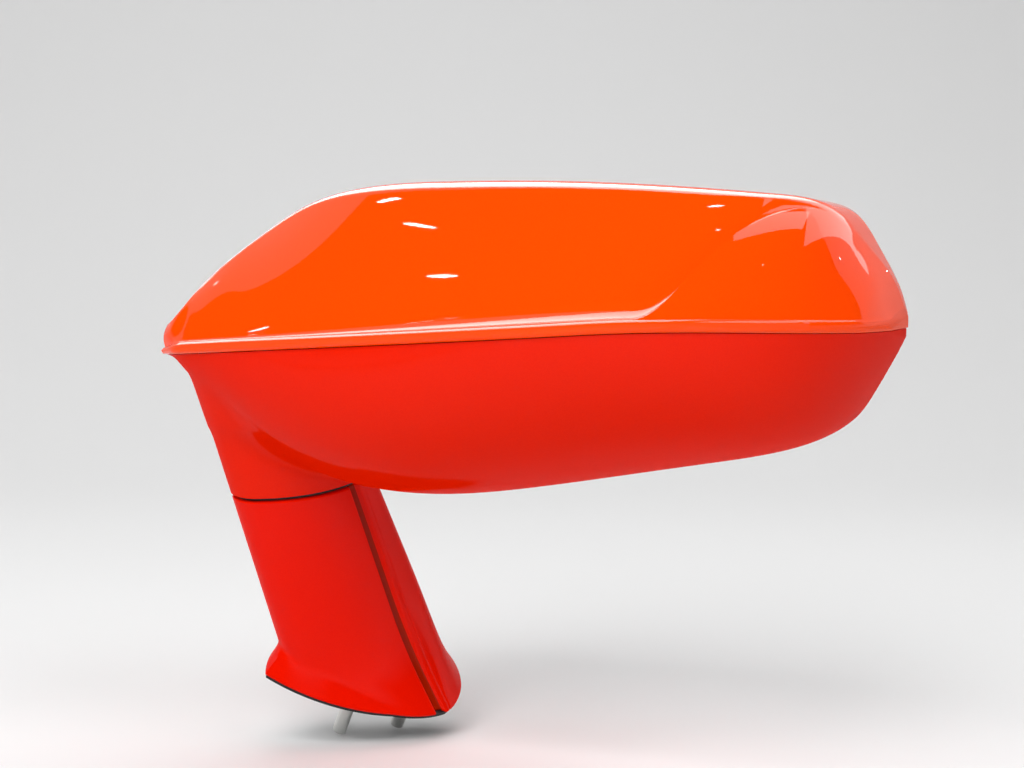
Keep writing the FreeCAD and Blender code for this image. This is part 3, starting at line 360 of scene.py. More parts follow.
def share_of(curve, at):
    """Points of each station's curve at that station's own share."""
    place = np.interp(at, FACE_SHARES, np.arange(len(FACE_SHARES)))
    i = np.clip(place.astype(int), 0, len(FACE_SHARES) - 2)
    part = (place - i)[:, None]
    rows = np.arange(len(curve))
    return curve[rows, i] * (1 - part) + curve[rows, i + 1] * part


def make_cap():
    """Painted cap: rows along the housing, columns from the lip over the face and crown to the rim."""
    picks = np.linspace(0, len(STATION_TABLE) - 1, CAP_ROWS).astype(int)
    s = station(STATION_TABLE[picks, 0])
    along, prow, bead = s["along"], s["prow"], s["bead"]
    crown = pair(s["crown"], s["top"])
    lip = pair(prow + LIP_SET, bead + LIP_HEIGHT * np.interp(along, *LIP_THINNING))
    rear = pair(np.full_like(along, RIM_PLANE), s["top"] - DECK_DROP)
    fall = np.arctan2(crown[:, 1] - lip[:, 1], crown[:, 0] - lip[:, 0])
    turn = np.maximum(fall - FACE_TURN / 2, LEAST_CROWN_TURN)
    shoulder = turned_back(crown, turn, s["round"])
    outer = arc_points(shoulder, turn - np.pi, lip, 1 - FACE_SHARES)
    base = lip + pair(COVE_DEPTH * s["cove"], 0 * along)
    span = shoulder - base
    normal = pair(-span[:, 1], span[:, 0]) / np.hypot(span[:, 0], span[:, 1])[:, None]
    bow = FACE_SAG * 4 * FACE_SHARES * (1 - FACE_SHARES)
    floor = straight_points(base, shoulder, FACE_SHARES) + normal[:, None, :] * bow[None, :, None]
    crease = np.interp(along, CREASE[:, 0], CREASE[:, 1])
    cove = np.minimum(COVE_RISE * s["cove"] / np.hypot(span[:, 0], span[:, 1]), (1 - crease))

    lower = bead + SPLIT_GAP / 2
    columns = [pair(prow + LIP_OVERHANG + LIP_UNDERSIDE, lower)]
    for back, lift in LIP_FOOT:
        columns.append(pair(prow + back, lower + lift))
    columns.append(pair(prow - LIP_BULGE, (bead + lip[:, 1]) / 2))
    for back, drop in LIP_SHOULDER:
        columns.append(pair(prow + back, lip[:, 1] - drop))
    for share in FACE_SHARES:
        columns.append(share_of(outer, crease * share))
    for share in COVE_SHARES[1:]:
        at = crease + cove * share
        sunk = math.sqrt(1 - (1 - share) ** 2)
        columns.append(share_of(outer, at) * (1 - sunk) + share_of(floor, at) * sunk)
    for share in FACE_SHARES[1:]:
        columns.append(share_of(floor, crease + cove + (1 - crease - cove) * share))
    for share in np.linspace(1, 0, 9)[1:]:
        columns.append(turned_back(crown, turn * share, s["round"]))
    for share in DECK_SHARES:
        columns.append(crown + (rear - crown) * share)
    for angle in np.linspace(0, math.pi / 2, 5):
        back = rear[:, 0] - RIM_ROUND * (1 - math.sin(angle))
        height = rear[:, 1] - RIM_ROUND * (1 - math.cos(angle))
        columns.append(pair(back, height))
    columns.append(pair(rear[:, 0], lower))
    profile = np.stack(columns, 1)
    rows, count = profile.shape[:2]
    points = np.concatenate([np.repeat(along[:, None, None], count, 1), profile], 2).reshape(-1, 3)
    faces = grid_faces(rows, count, True)
    faces.append(tuple(range(count))[::-1])
    faces.append(tuple((rows - 1) * count + j for j in range(count)))
    return mesh_object("cap_skin", *merged(points, faces), None, ROW_CRISP)


def make_cap_hollow():
    """Hollow under the cap as one closed mesh."""
    share = (STATION_TABLE[:, 0] + TIP_REACH) / HOUSING_LENGTH
    picks = np.flatnonzero((share > HOLLOW_START) & (share < HOLLOW_END))[::HOLLOW_STRIDE]
    s = station(STATION_TABLE[picks, 0])
    high = s["top"] - SHELL_WALL
    front = s["prow"] + SHELL_WALL + s["cove"] + LIP_ROUND
    low = s["bead"] - OVERRUN
    rear = np.full_like(high, RIM_FRONT)
    corners = [
        pair(rear, high - DECK_DROP), pair(np.minimum(s["crown"], rear - HOLLOW_STEP), high),
        pair(front, s["bead"] + LIP_HEIGHT), pair(front, low), pair(rear, low),
    ]
    profile = np.stack(corners, 1)
    rows, count = profile.shape[:2]
    points = np.concatenate([np.repeat(s["along"][:, None, None], count, 1), profile], 2).reshape(-1, 3)
    faces = grid_faces(rows, count, True)
    faces.append(tuple(range(count))[::-1])
    faces.append(tuple((rows - 1) * count + j for j in range(count)))
    return mesh_object("cap_hollow", points, faces, None)


# Cutting one mesh with another.

LINING_GAP = 0.0001  # a face this close to a cutter's surface, and this parallel to it, is its mark
LINING_DOT = 0.8


def block(name, corners):
    """Closed mesh from the four corners of its base and the four above them."""
    faces = [(3, 2, 1, 0), (4, 5, 6, 7), (0, 1, 5, 4), (1, 2, 6, 5), (2, 3, 7, 6), (3, 0, 4, 7)]
    return mesh_object(name, corners, faces, None)


def half_block(name, point, normal):
    """Large block on the side of a plane that its normal points to."""
    normal = Vector(normal).normalized()
    side = normal.orthogonal().normalized()
    rise = normal.cross(side)
    reach = 0.6
    corners = []
    for depth in (0.0, reach):
        for a, b in ((-1, -1), (1, -1), (1, 1), (-1, 1)):
            corners.append(Vector(point) + (side * a + rise * b) * reach + normal * depth)
    return block(name, corners)


def face_outward(mesh):
    """Turn a closed mesh's faces outward."""
    work = bmesh.new()
    work.from_mesh(mesh)
    bmesh.ops.recalc_face_normals(work, faces=work.faces)
    if work.calc_volume(signed=True) < 0:
        bmesh.ops.reverse_faces(work, faces=work.faces)
    work.to_mesh(mesh)
    work.free()


def surface_of(cutter):
    """The cutter's surface, to find the faces that it leaves."""
    points = [vertex.co for vertex in cutter.data.vertices]
    return BVHTree.FromPolygons(points, [face.vertices for face in cutter.data.polygons])


def mark_lining(thing, surfaces):
    """Give the faces that lie on the surfaces the second material."""
    for face in thing.data.polygons:
        for surface in surfaces:
            _, normal, _, gap = surface.find_nearest(face.center)
            if gap < LINING_GAP and abs(normal.dot(face.normal)) > LINING_DOT:
                face.material_index = 1


def cut(thing, cutter, sharp=ROW_CRISP):
    """Take the cutter's volume away from a mesh, and return the cutter's surface."""
    face_outward(cutter.data)
    surface = surface_of(cutter)
    change = thing.modifiers.new("cut", "BOOLEAN")
    change.operation = "DIFFERENCE"
    change.solver = "MANIFOLD"
    change.object = cutter
    bpy.context.view_layer.update()
    whole = bpy.data.meshes.new_from_object(thing.evaluated_get(bpy.context.evaluated_depsgraph_get()))
    whole.materials.clear()
    thing.modifiers.clear()
    thing.data = whole
    bpy.data.objects.remove(cutter)
    for face in whole.polygons:
        face.use_smooth = True
    whole.set_sharp_from_angle(angle=math.radians(sharp))
    return surface


def opening_outline(inset, steps=10):
    """Rounded outline of the opening as points along and up the rim plane."""
    corners = [np.array(c[:2]) for c in OPENING]
    count = len(corners)
    inward = []
    for i in range(count):
        edge = corners[(i + 1) % count] - corners[i]
        edge = edge / np.linalg.norm(edge)
        inward.append(np.array([edge[1], -edge[0]]))
    moved = []
    for i in range(count):
        bisector = inward[i - 1] + inward[i]
        bisector = bisector / np.linalg.norm(bisector)
        moved.append(corners[i] + bisector * (inset / bisector.dot(inward[i])))
    outline = []
    for i in range(count):
        back = moved[i - 1] - moved[i]
        ahead = moved[(i + 1) % count] - moved[i]
        back = back / np.linalg.norm(back)
        ahead = ahead / np.linalg.norm(ahead)
        half = math.acos(back.dot(ahead)) / 2
        radius = max(LEAST_CORNER, OPENING[i][2] - inset)
        bisector = (back + ahead) / np.linalg.norm(back + ahead)
        centre = moved[i] + bisector * radius / math.sin(half)
        start = moved[i] + back * radius / math.tan(half) - centre
        end = moved[i] + ahead * radius / math.tan(half) - centre
        turn = math.atan2(start[0] * end[1] - start[1] * end[0], start.dot(end))
        for step in range(steps + 1):
            a = turn * step / steps
            along = start[0] * math.cos(a) - start[1] * math.sin(a)
            up = start[0] * math.sin(a) + start[1] * math.cos(a)
            outline.append(centre + np.array([along, up]))
    return outline


def prism(name, outline, depths):
    """Closed prism of an outline along and up, between two depths."""
    count = len(outline)
    points = [(p[0], depth, p[1]) for depth in depths for p in outline]
    faces = [tuple(range(count)), tuple(range(2 * count - 1, count - 1, -1))]
    faces += [(i, i + count, (i + 1) % count + count, (i + 1) % count) for i in range(count)]
    return mesh_object(name, points, faces, None)


def opening_block():
    """The opening, from inside the rim to behind it."""
    return prism("opening", opening_outline(0.0), OPENING_DEPTHS)


SIDE_POINT = HOUSING.inverted() @ Vector((SIDE_PLANE, 0, 0))
SIDE_NORMAL = HOUSING.inverted().to_3x3() @ Vector((-1, 0, 0))


# The lower shell: belly and raked neck as one smooth form.

def belly_field(p):
    """Distance, roughly, to the belly's surface, below nought inside it."""
    s = station(p[:, 0])
    y, z = p[:, 1], p[:, 2]
    prow, keel = s["prow"] + LIP_OVERHANG, s["keel"]
    low = np.minimum(s["bottom"], s["bead"] - LEAST_BELLY)
    reach, rise = keel - prow, s["bead"] - low
    radius = (reach ** 2 + rise ** 2) / (2 * rise)
    front = np.hypot(y - keel, z - low - radius) - radius
    run = RIM_PLANE + OVERRUN - keel
    share = (y - keel) / run
    back = (low + BELLY_RISE * share ** 2 - z) / np.hypot(1, 2 * BELLY_RISE * share / run)
    field = np.where(y < keel, front, back)
    ends = STATION_TABLE[[0, -1], 0]
    return np.maximum(field, np.maximum(ends[0] - p[:, 0], p[:, 0] - ends[1]))


RAKE_SHARE = 0.6  # of the rake, where level distances to the column are made true ones
SLOPE_STEP = 0.0002
LEAST_SLOPE = 0.5
HOUSING_TURN = np.array(HOUSING.to_3x3())
HOUSING_SHIFT = np.array(HOUSING.translation)
LEAN, ALONG_CHORD, ALONG_ACROSS = np.array(ARM_LEAN), np.array(CHORD), np.array(ACROSS)


def column_section(q):
    """Distance to the raked column in level planes, points in the model's frame."""
    share = q[:, 2] / ARM_HEIGHT
    half_chord = CHORD_FOOT + (CHORD_SEAM - CHORD_FOOT) * share
    centre = LEAN * q[:, 2:3] - ALONG_CHORD * (CHORD_SETBACK * share)[:, None]
    c = np.abs((q - centre) @ ALONG_CHORD)
    a = np.abs((q - centre) @ ALONG_ACROSS)
    straight = half_chord - ARM_NOSE
    side = (straight ** 2 / (ARM_HALF_WIDTH - ARM_NOSE) + ARM_NOSE + ARM_HALF_WIDTH) / 2
    drop = side - ARM_HALF_WIDTH
    round_end = np.hypot(c - straight, a) - ARM_NOSE
    long_side = np.hypot(c, a + drop) - side
    return np.where((c - straight) * drop - a * straight > 0, round_end, long_side)


def column_field(p):
    """Distance to the raked column, points in the housing's frame."""
    return column_section(p @ HOUSING_TURN.T + HOUSING_SHIFT) / math.hypot(1, RAKE_FORWARD * RAKE_SHARE)


def slope_of(field, p):
    """Gradient of a field."""
    steps = np.eye(3) * SLOPE_STEP
    return np.stack([(field(p + step) - field(p - step)) / (2 * SLOPE_STEP) for step in steps], 1)


def even(field):
    """The same field, scaled to a true distance near its surface."""
    def scaled(p):
        """Field over the length of its gradient."""
        return field(p) / np.maximum(LEAST_SLOPE, np.linalg.norm(slope_of(field, p), axis=1))
    return scaled


even_belly = even(belly_field)


def joined_field(p):
    """Belly and column as one form with a rounded valley, tighter towards the seam."""
    a, b = even_belly(p), column_field(p)
    width = np.interp(p[:, 2], *VALLEY_WIDTHS)
    h = np.clip(0.5 + 0.5 * (b - a) / width, 0, 1)
    return b * (1 - h) + a * h - width * h * (1 - h)


def rounded_max(a, b, width):
    """Larger of two fields, with their edge rounded."""
    h = np.clip(0.5 + 0.5 * (a - b) / width, 0, 1)
    return b * (1 - h) + a * h + width * h * (1 - h)


SIDE_SPOT, SIDE_WAY = np.array(SIDE_POINT), np.array(SIDE_NORMAL)


def shell_field(p):
    """Outside of the lower shell, its flat side and rim rounded at the edge."""
    outside = rounded_max(joined_field(p), (p - SIDE_SPOT) @ SIDE_WAY, SIDE_EDGE)
    return rounded_max(outside, p[:, 1] - RIM_PLANE, RIM_EDGE)


def hollow_field(p):
    """Hollow of the belly."""
    inboard = (p - SIDE_SPOT) @ SIDE_WAY
    walls = np.maximum(inboard + SHELL_WALL, p[:, 1] - RIM_FRONT)
    return np.maximum(even_belly(p) + SHELL_WALL, walls)


def column_ring(height, inset, steps):
    """Points round the raked column at one height, from its outboard side over the tail."""
    share = height / ARM_HEIGHT
    nose = ARM_NOSE - inset
    half_width = ARM_HALF_WIDTH - inset
    straight = CHORD_FOOT + (CHORD_SEAM - CHORD_FOOT) * share - inset - nose
    side = (straight ** 2 / (half_width - nose) + nose + half_width) / 2
    drop = side - half_width
    lean = math.atan2(straight, drop)
    centre = ARM_LEAN * height - CHORD * (CHORD_SETBACK * share)
    arcs = [
        (0.0, -drop, side, -lean, lean),
        (straight, 0.0, nose, lean, math.pi - lean),
        (0.0, drop, side, math.pi - lean, math.pi + lean),
        (-straight, 0.0, nose, math.pi + lean, 2 * math.pi - lean),
    ]
    ring = []
    for c, a, radius, start, end in arcs:
        for step in range(steps):
            angle = start + (end - start) * step / steps
            forward = CHORD * (c + radius * math.sin(angle))
            ring.append(centre + forward + ACROSS * (a + radius * math.cos(angle)))
    return ring


def column_mesh(name, inset, low, high, steps=16):
    """Closed mesh of the raked column between two heights, in the housing's frame."""
    inverse = HOUSING.inverted()
    rings = [column_ring(height, inset, steps) for height in (low, high)]
    count = len(rings[0])
    faces = grid_faces(2, count, True)
    faces += [tuple(range(count))[::-1], tuple(range(count, 2 * count))]
    return mesh_object(name, [inverse @ p for ring in rings for p in ring], faces, None)


def surface_net(values, low, step):
    """Quads round the zero level of values on a regular grid."""
    inside = values < 0
    shape = np.array(values.shape) - 1
    total = np.zeros((*shape, 3))
    hits = np.zeros(shape)
    quads = []
    for axis in range(3):
        first, second = [a for a in range(3) if a != axis]
        start = [slice(None)] * 3
        end = [slice(None)] * 3
        start[axis] = slice(None, -1)
        end[axis] = slice(1, None)
        start, end = tuple(start), tuple(end)
        spots = np.argwhere(inside[start] != inside[end])
        here = tuple(spots.T)
        share = values[start][here] / (values[start][here] - values[end][here])
        place = spots.astype(float)
        place[:, axis] += share
        ring = []
        for a, b in ((-1, -1), (0, -1), (0, 0), (-1, 0)):
            cell = spots.copy()
            cell[:, first] += a
            cell[:, second] += b
            ring.append(cell)
            real = ((cell >= 0) & (cell < shape)).all(1)
            np.add.at(total, tuple(cell[real].T), place[real])
            np.add.at(hits, tuple(cell[real].T), 1)
        ring = np.stack(ring, 1)
        real = ((ring >= 0) & (ring < shape)).all((1, 2))
        outward = inside[start][here] ^ (axis == 1)
        ring[~outward] = ring[~outward][:, ::-1]
        quads.append(ring[real])
    number = np.cumsum((hits > 0).ravel()).reshape(shape) - 1
    quads = np.concatenate(quads)
    faces = number[quads[..., 0], quads[..., 1], quads[..., 2]]
    used = hits > 0
    return total[used] / hits[used][:, None] * step + low, faces


def netted(name, field, low, high, step):
    """Closed mesh of a field's surface within a box, drawn on to the surface itself."""
    low, high = np.array(low), np.array(high)
    axes = [np.arange(low[i], high[i], step) for i in range(3)]
    grid = np.stack(np.meshgrid(*axes, indexing="ij"), -1)
    values = np.empty(grid.shape[:3])
    for i, slab in enumerate(grid):
        values[i] = field(slab.reshape(-1, 3)).reshape(slab.shape[:2])
    for axis in range(3):
        for end in (0, -1):
            side = values.swapaxes(0, axis)[end]
            side[:] = np.maximum(side, step / 10)
    points, faces = surface_net(values, low, step)
    last = np.array([axis[-1] for axis in axes])
    middle = ((points > low + 2 * step) & (points < last - 2 * step)).all(1)
    for _ in range(3):
        p = points[middle]
        slope = slope_of(field, p)
        length = np.maximum(LEAST_SLOPE ** 2, (slope ** 2).sum(1))
        move = (field(p) / length)[:, None] * slope
        points[middle] = p - np.clip(move, -step / 2, step / 2)
    return mesh_object(name, points, faces, None, FIELD_CRISP)


def split_block():
    """Everything over the split line."""
    along = np.concatenate([[SPLIT_START], np.linspace(BEAD_BEND, SPLIT_END, 24)])
    level = bead_level(along) - SPLIT_GAP / 2
    outline = list(zip(along, level)) + [(along[-1], SPLIT_REACH), (along[0], SPLIT_REACH)]
    return prism("split", outline, (-SPLIT_REACH, SPLIT_REACH))


# Boxes that hold the shell and its hollow, in the housing's frame, and the steps of their nets.
SHELL_BOX = ((-0.036, -0.062, -0.084), (0.2645, 0.067, 0.034))
HOLLOW_BOX = ((-0.010, -0.056, -0.066), (0.249, 0.052, 0.03))
FINE_STEP = 0.0015
COARSE_STEP = 0.003
SPLIT_START = -0.05
SPLIT_END = 0.275
SPLIT_REACH = 0.2


def housing_cap():
    """The cap, hollowed and opened, and the surfaces of its lining."""
    skin = make_cap()
    face_outward(skin.data)
    cut(skin, half_block("side", SIDE_POINT, SIDE_NORMAL))
    hollow = make_cap_hollow()
    cut(hollow, half_block("side", SIDE_POINT - SIDE_NORMAL * SHELL_WALL, SIDE_NORMAL))
    return skin, [cut(skin, hollow), cut(skin, opening_block())]


def housing_shell():
    """The lower shell, hollowed and opened, and the surfaces of its lining."""
    skin = netted("lower_shell_skin", shell_field, *SHELL_BOX, FINE_STEP)
    face_outward(skin.data)
    hollow_surface = cut(skin, netted("belly_hollow", hollow_field, *HOLLOW_BOX, COARSE_STEP), FIELD_CRISP)
    cut(skin, split_block(), FIELD_CRISP)
    inverse = HOUSING.inverted()
    seam = inverse @ (SEAM_POINT + FOLD_AXIS * SEAM_GAP)
    cut(skin, half_block("seam", seam, -(inverse.to_3x3() @ FOLD_AXIS)), FIELD_CRISP)
    throat_surface = cut(skin, column_mesh("throat", NECK_WALL, *THROAT_HEIGHTS), FIELD_CRISP)
    return skin, [hollow_surface, throat_surface, cut(skin, opening_block(), FIELD_CRISP)]


cap, cap_lining = housing_cap()
shell, shell_lining = housing_shell()
for skin, node, lining in ((cap, "upper_cap", cap_lining), (shell, "lower_shell", shell_lining)):
    mark_lining(skin, lining)
    skin.data.transform(HOUSING)
    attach(skin, "housing")
    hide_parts(node)


# Covers of the arm, with the flared foot and the groove between them.

RING_STEPS = 48
SKIRT_BEVEL = 0.0003
SEAM_BEVEL = 0.0005
SEAM_INSET = 0.0004
SKIRT_ROWS = 7
FLARE_ROWS = 9
COLUMN_ROWS = 15
HALF_STEPS = 24
EDGE_SHARES = np.array((0.0, 0.06, 0.2, 0.45, 0.75, 1.0, 1.6))  # of the front cover's rounded edge
GROOVE_EXTRA = (0.0036, 0.0044, 0.0051, 0.0062, 0.0090, 0.0100)
SHADED_DEPTH = 0.0036  # a face whose two edges lie deeper than this, added up, is in the groove and gets the darker paint of painted shade


def three_point_arc(start, middle, end, shares):
    """Points of the arc through three points."""
    a, b = middle - start, end - start
    normal = np.cross(a, b)
    to_centre = np.cross(a.dot(a) * b - b.dot(b) * a, normal) / (2 * normal.dot(normal))
    first = -to_centre
    second = np.cross(normal / np.linalg.norm(normal), first)
    last = b - to_centre
    sweep = math.atan2(last.dot(second), last.dot(first)) % (2 * math.pi)
    angle = sweep * shares[:, None]
    return start + to_centre + first * np.cos(angle) + second * np.sin(angle)


def unit_rows(vectors):
    """The same directions with length one."""
    return vectors / np.linalg.norm(vectors, axis=-1, keepdims=True)


def foot_ring():
    """Points round the foot's outline, from the nose's outboard end over the tail."""
    slope = np.array((-DOOR_NORMAL.x / DOOR_NORMAL.z, -DOOR_NORMAL.y / DOOR_NORMAL.z))

    def on_door(spot):
        """Point of the door's plane over a spot seen from above."""
        spot = np.array(spot)
        return np.append(spot, spot.dot(slope))

    start = on_door(FOOT_START)
    ring = []
    counts = (RING_STEPS, RING_STEPS, RING_STEPS, RING_STEPS // 2, RING_STEPS // 2)
    for (middle, end), count in zip(FOOT_EDGES, counts):
        ring.append(three_point_arc(start, on_door(middle), on_door(end), np.arange(count) / count))
        start = on_door(end)
    return np.concatenate(ring)


def arm_grid():
    """The arm's outside as closed rings from the gasket to the seam, nose first, and outward directions."""
    door, fold = np.array(DOOR_NORMAL), np.array(FOLD_AXIS)
    low = np.array(column_ring(0.0, 0.0, RING_STEPS))
    climb = (np.array(column_ring(ARM_HEIGHT, 0.0, RING_STEPS)) - low) / ARM_HEIGHT
    foot = foot_ring()
    place = low @ ALONG_CHORD
    rise = (FLARE_MIDDLE + FLARE_RISE * place / CHORD_FOOT - low @ door) / LEAN.dot(door)
    top = low + climb * rise[:, None]
    skirt = foot + door * (GASKET + SKIRT)
    share = np.interp(place, *FLARE_FILLET)
    reach = np.linalg.norm(top - skirt, axis=1)
    leave = skirt + (top - skirt) * (1 - share)[:, None]
    join = rise + share * reach
    arrive = low + climb * join[:, None]
    seam = (np.array(SEAM_POINT) - low) @ fold / (climb @ fold)
    trimmed = foot * (1 - SKIRT_BEVEL / np.linalg.norm(foot, axis=1))[:, None]
    rows = [trimmed + door * GASKET, foot + door * (GASKET + SKIRT_BEVEL), skirt]
    for k in np.linspace(0, 1, SKIRT_ROWS)[1:]:
        rows.append(skirt + (leave - skirt) * k)
    for k in np.linspace(0, 1, FLARE_ROWS)[1:]:
        rows.append(leave * (1 - k) ** 2 + top * 2 * k * (1 - k) + arrive * k ** 2)
    ways = [door] * len(rows)
    for k in np.linspace(0, 1, COLUMN_ROWS)[1:]:
        rows.append(low + climb * (join + (seam - SEAM_BEVEL - join) * k)[:, None])
        ways.append(door + (fold - door) * k)
    rows.append(low + climb * seam[:, None])
    ways.append(fold)
    nose = 3 * RING_STEPS + RING_STEPS // 2
    grid = np.roll(np.stack(rows), -nose, 1)
    tangent = np.roll(grid, -1, 1) - np.roll(grid, 1, 1)
    outward = unit_rows(np.cross(tangent, np.array(ways)[:, None, :]))
    grid[-1] -= outward[-1] * SEAM_INSET
    return grid, outward


def make_cover(name, grid, outward, front):
    """Front or rear cover as a closed mesh, with flags of the faces deep in the groove, which get a darker
    paint as painted shade.
    """
    lean = unit_rows(LEAN)
    across = np.cross(lean, ALONG_ACROSS)
    across = across / across.dot(ALONG_CHORD)
    tail = 2 * RING_STEPS
    loops = []
    for ring, way in zip(grid, outward):
        ring = np.concatenate([ring, ring, ring[:1]])
        way = np.concatenate([way, way, way[:1]])
        run = np.concatenate([[0], np.cumsum(np.linalg.norm(np.diff(ring, axis=0), axis=1))])
        place = ring @ across
        whole = run[2 * tail]
        outboard = np.interp(GROOVE_START, place[:tail + 1], run[:tail + 1])
        inboard = np.interp(-GROOVE_START, -place[tail:2 * tail + 1], run[tail:2 * tail + 1])
        if front:
            start, middle, end = inboard, whole, whole + outboard
            edge = EDGE_ROUND * EDGE_SHARES
        else:
            start, middle, end = outboard + COVER_GAP, run[tail], inboard - COVER_GAP
            edge = np.union1d(GROOVE_DEPTH[0], GROOVE_EXTRA)
        ahead = np.concatenate([start + edge, np.linspace(start + edge[-1], middle, HALF_STEPS)[1:]])
        behind = np.linspace(middle, end - edge[-1], HALF_STEPS)[1:]
        behind = np.concatenate([behind, (end - edge[:-1])[::-1]])
        at = np.concatenate([ahead, behind])
        spots = np.stack([np.interp(at, run, ring[:, i]) for i in range(3)], 1)
        ways = unit_rows(np.stack([np.interp(at, run, way[:, i]) for i in range(3)], 1))
        gap = np.minimum(at - start, end - at)
        if front:
            inner = np.clip(1 - gap / EDGE_ROUND, 0, 1)
            depth = EDGE_ROUND * (1 - np.sqrt(1 - inner ** 2))
        else:
            depth = np.interp(gap, *GROOVE_DEPTH)
        centre = ring[:2 * tail].mean(0)
        inside = spots - unit_rows(spots - centre) * COVER_WALL
        loops.append(np.concatenate([spots - ways * depth[:, None], inside[::-1]]))
    half = len(depth)
    count = 2 * half
    faces = grid_faces(len(loops), count, True)
    deep = [not front and depth[j] + depth[j + 1] > SHADED_DEPTH for j in range(half - 1)]
    shaded = (deep + [False] * (count - half + 1)) * (len(loops) - 1)
    for row in (0, len(loops) - 1):
        for j in range(half - 1):
            corners = (j, j + 1, count - 2 - j, count - 1 - j)
            faces.append(tuple(row * count + corner for corner in corners))
            shaded.append(False)
    cover = mesh_object(name, np.concatenate(loops), faces, None, ROW_CRISP)
    # Faces deep in the groove take the second material, a darker paint that is painted shade.
    for face, in_painted_shade in zip(cover.data.polygons, shaded):
        face.material_index = int(in_painted_shade)
    face_outward(cover.data)
    cover.data.set_sharp_from_angle(angle=math.radians(ROW_CRISP))
    return cover


ARM_GRID, ARM_OUTWARD = arm_grid()
front_cover = make_cover("arm_front_cover_skin", ARM_GRID, ARM_OUTWARD, True)
rear_cover = make_cover("arm_rear_cover_skin", ARM_GRID, ARM_OUTWARD, False)
for skin, node in ((front_cover, "arm_front_cover"), (rear_cover, "arm_rear_cover")):
    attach(skin, "foot")
    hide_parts(node)


# Materials.

FLAKE_SCALE = 1800.0
GRAIN_DEPTH = 0.0004


def new_material(name):
    """Material with its node tree and its shader."""
    material = bpy.data.materials.new(name)
    material.use_nodes = True
    tree = material.node_tree
    return material, tree, tree.nodes["Principled BSDF"]


def ranged(tree, source, span, result):
    """Node that takes a value from one range to another."""
    node = tree.nodes.new("ShaderNodeMapRange")
    node.inputs["From Min"].default_value, node.inputs["From Max"].default_value = span
    node.inputs["To Min"].default_value, node.inputs["To Max"].default_value = result
    tree.links.new(source, node.inputs["Value"])
    return node


def fine_noise(tree, scale):
    """Noise that stays with the object."""
    place = tree.nodes.new("ShaderNodeTexCoord")
    noise = tree.nodes.new("ShaderNodeTexNoise")
    noise.inputs["Scale"].default_value = scale
    tree.links.new(place.outputs["Object"], noise.inputs["Vector"])
    return noise


def paint_material(name, dark, light, coat, coat_roughness=0.015):
    """Orange-red base under a clear coat, whose share is given face on and at grazing angles."""
    material, tree, shader = new_material(name)
    shader.inputs["Roughness"].default_value = 0.5
    shader.inputs["Specular IOR Level"].default_value = 0.0
    angle = tree.nodes.new("ShaderNodeLayerWeight")
    sheen = ranged(tree, angle.outputs["Facing"], (0.0, 1.0), coat)
    tree.links.new(sheen.outputs["Result"], shader.inputs["Coat Weight"])
    shader.inputs["Coat Roughness"].default_value = coat_roughness
    shader.inputs["Coat IOR"].default_value = 1.3
    ramp = tree.nodes.new("ShaderNodeValToRGB")
    ramp.color_ramp.elements[0].color = (*dark, 1)
    ramp.color_ramp.elements[1].color = (*light, 1)
    tree.links.new(fine_noise(tree, FLAKE_SCALE).outputs["Fac"], ramp.inputs["Fac"])
    tree.links.new(ramp.outputs["Color"], shader.inputs["Base Color"])
    return material


def plain_material(name, color, roughness, metallic=0.0, scale=900.0, strength=0.15):
    """Plastic, rubber or metal with a fine grain."""
    material, tree, shader = new_material(name)
    shader.inputs["Base Color"].default_value = (*color, 1)
    shader.inputs["Roughness"].default_value = roughness
    shader.inputs["Metallic"].default_value = metallic
    bump = tree.nodes.new("ShaderNodeBump")
    bump.inputs["Strength"].default_value = strength
    bump.inputs["Distance"].default_value = GRAIN_DEPTH
    tree.links.new(fine_noise(tree, scale).outputs["Fac"], bump.inputs["Height"])
    tree.links.new(bump.outputs["Normal"], shader.inputs["Normal"])
    return material


paint = paint_material("pearl_orange_paint", (0.95, 0.050, 0.0), (1.0, 0.068, 0.0), (1.0, 1.0))
# Darker copy of the same paint for the lower shell: painted shade for its underside, which faces down and
# away from the lamps.
belly_shaded_paint = paint_material(
    "pearl_orange_paint_belly_painted_shade", (0.71, 0.008, 0.0), (0.79, 0.015, 0.0), (0.5, 0.06), 0.12)
# Darker copy of the same paint for the arm's covers: painted shade, as the arm gets less light than the cap.
arm_shaded_paint = paint_material(
    "pearl_orange_paint_arm_painted_shade", (0.73, 0.004, 0.0), (0.81, 0.009, 0.0), (0.5, 0.2), 0.02)
# Much darker copy of the same paint for the faces deep in the rear cover's groove: painted shade in the
# recess.
groove_shadow_paint = paint_material(
    "pearl_orange_paint_groove_painted_shade", (0.30, 0.009, 0.0), (0.36, 0.013, 0.0), (0.5, 0.2), 0.06)
black_plastic = plain_material("grained_black_plastic", (0.018, 0.018, 0.020), 0.45)
rubber = plain_material("black_rubber", (0.012, 0.012, 0.012), 0.7, scale=400.0)
cast_metal = plain_material("cast_aluminium", (0.55, 0.56, 0.58), 0.42, 1.0, 260.0, 0.3)
steel = plain_material("plated_steel", (0.62, 0.62, 0.60), 0.28, 1.0, 700.0, 0.08)
white_plastic = plain_material("natural_acetal", (0.72, 0.70, 0.66), 0.4)
mirror_glass = plain_material("silvered_glass", (0.80, 0.84, 0.88), 0.01, 1.0, 40.0, 0.0)

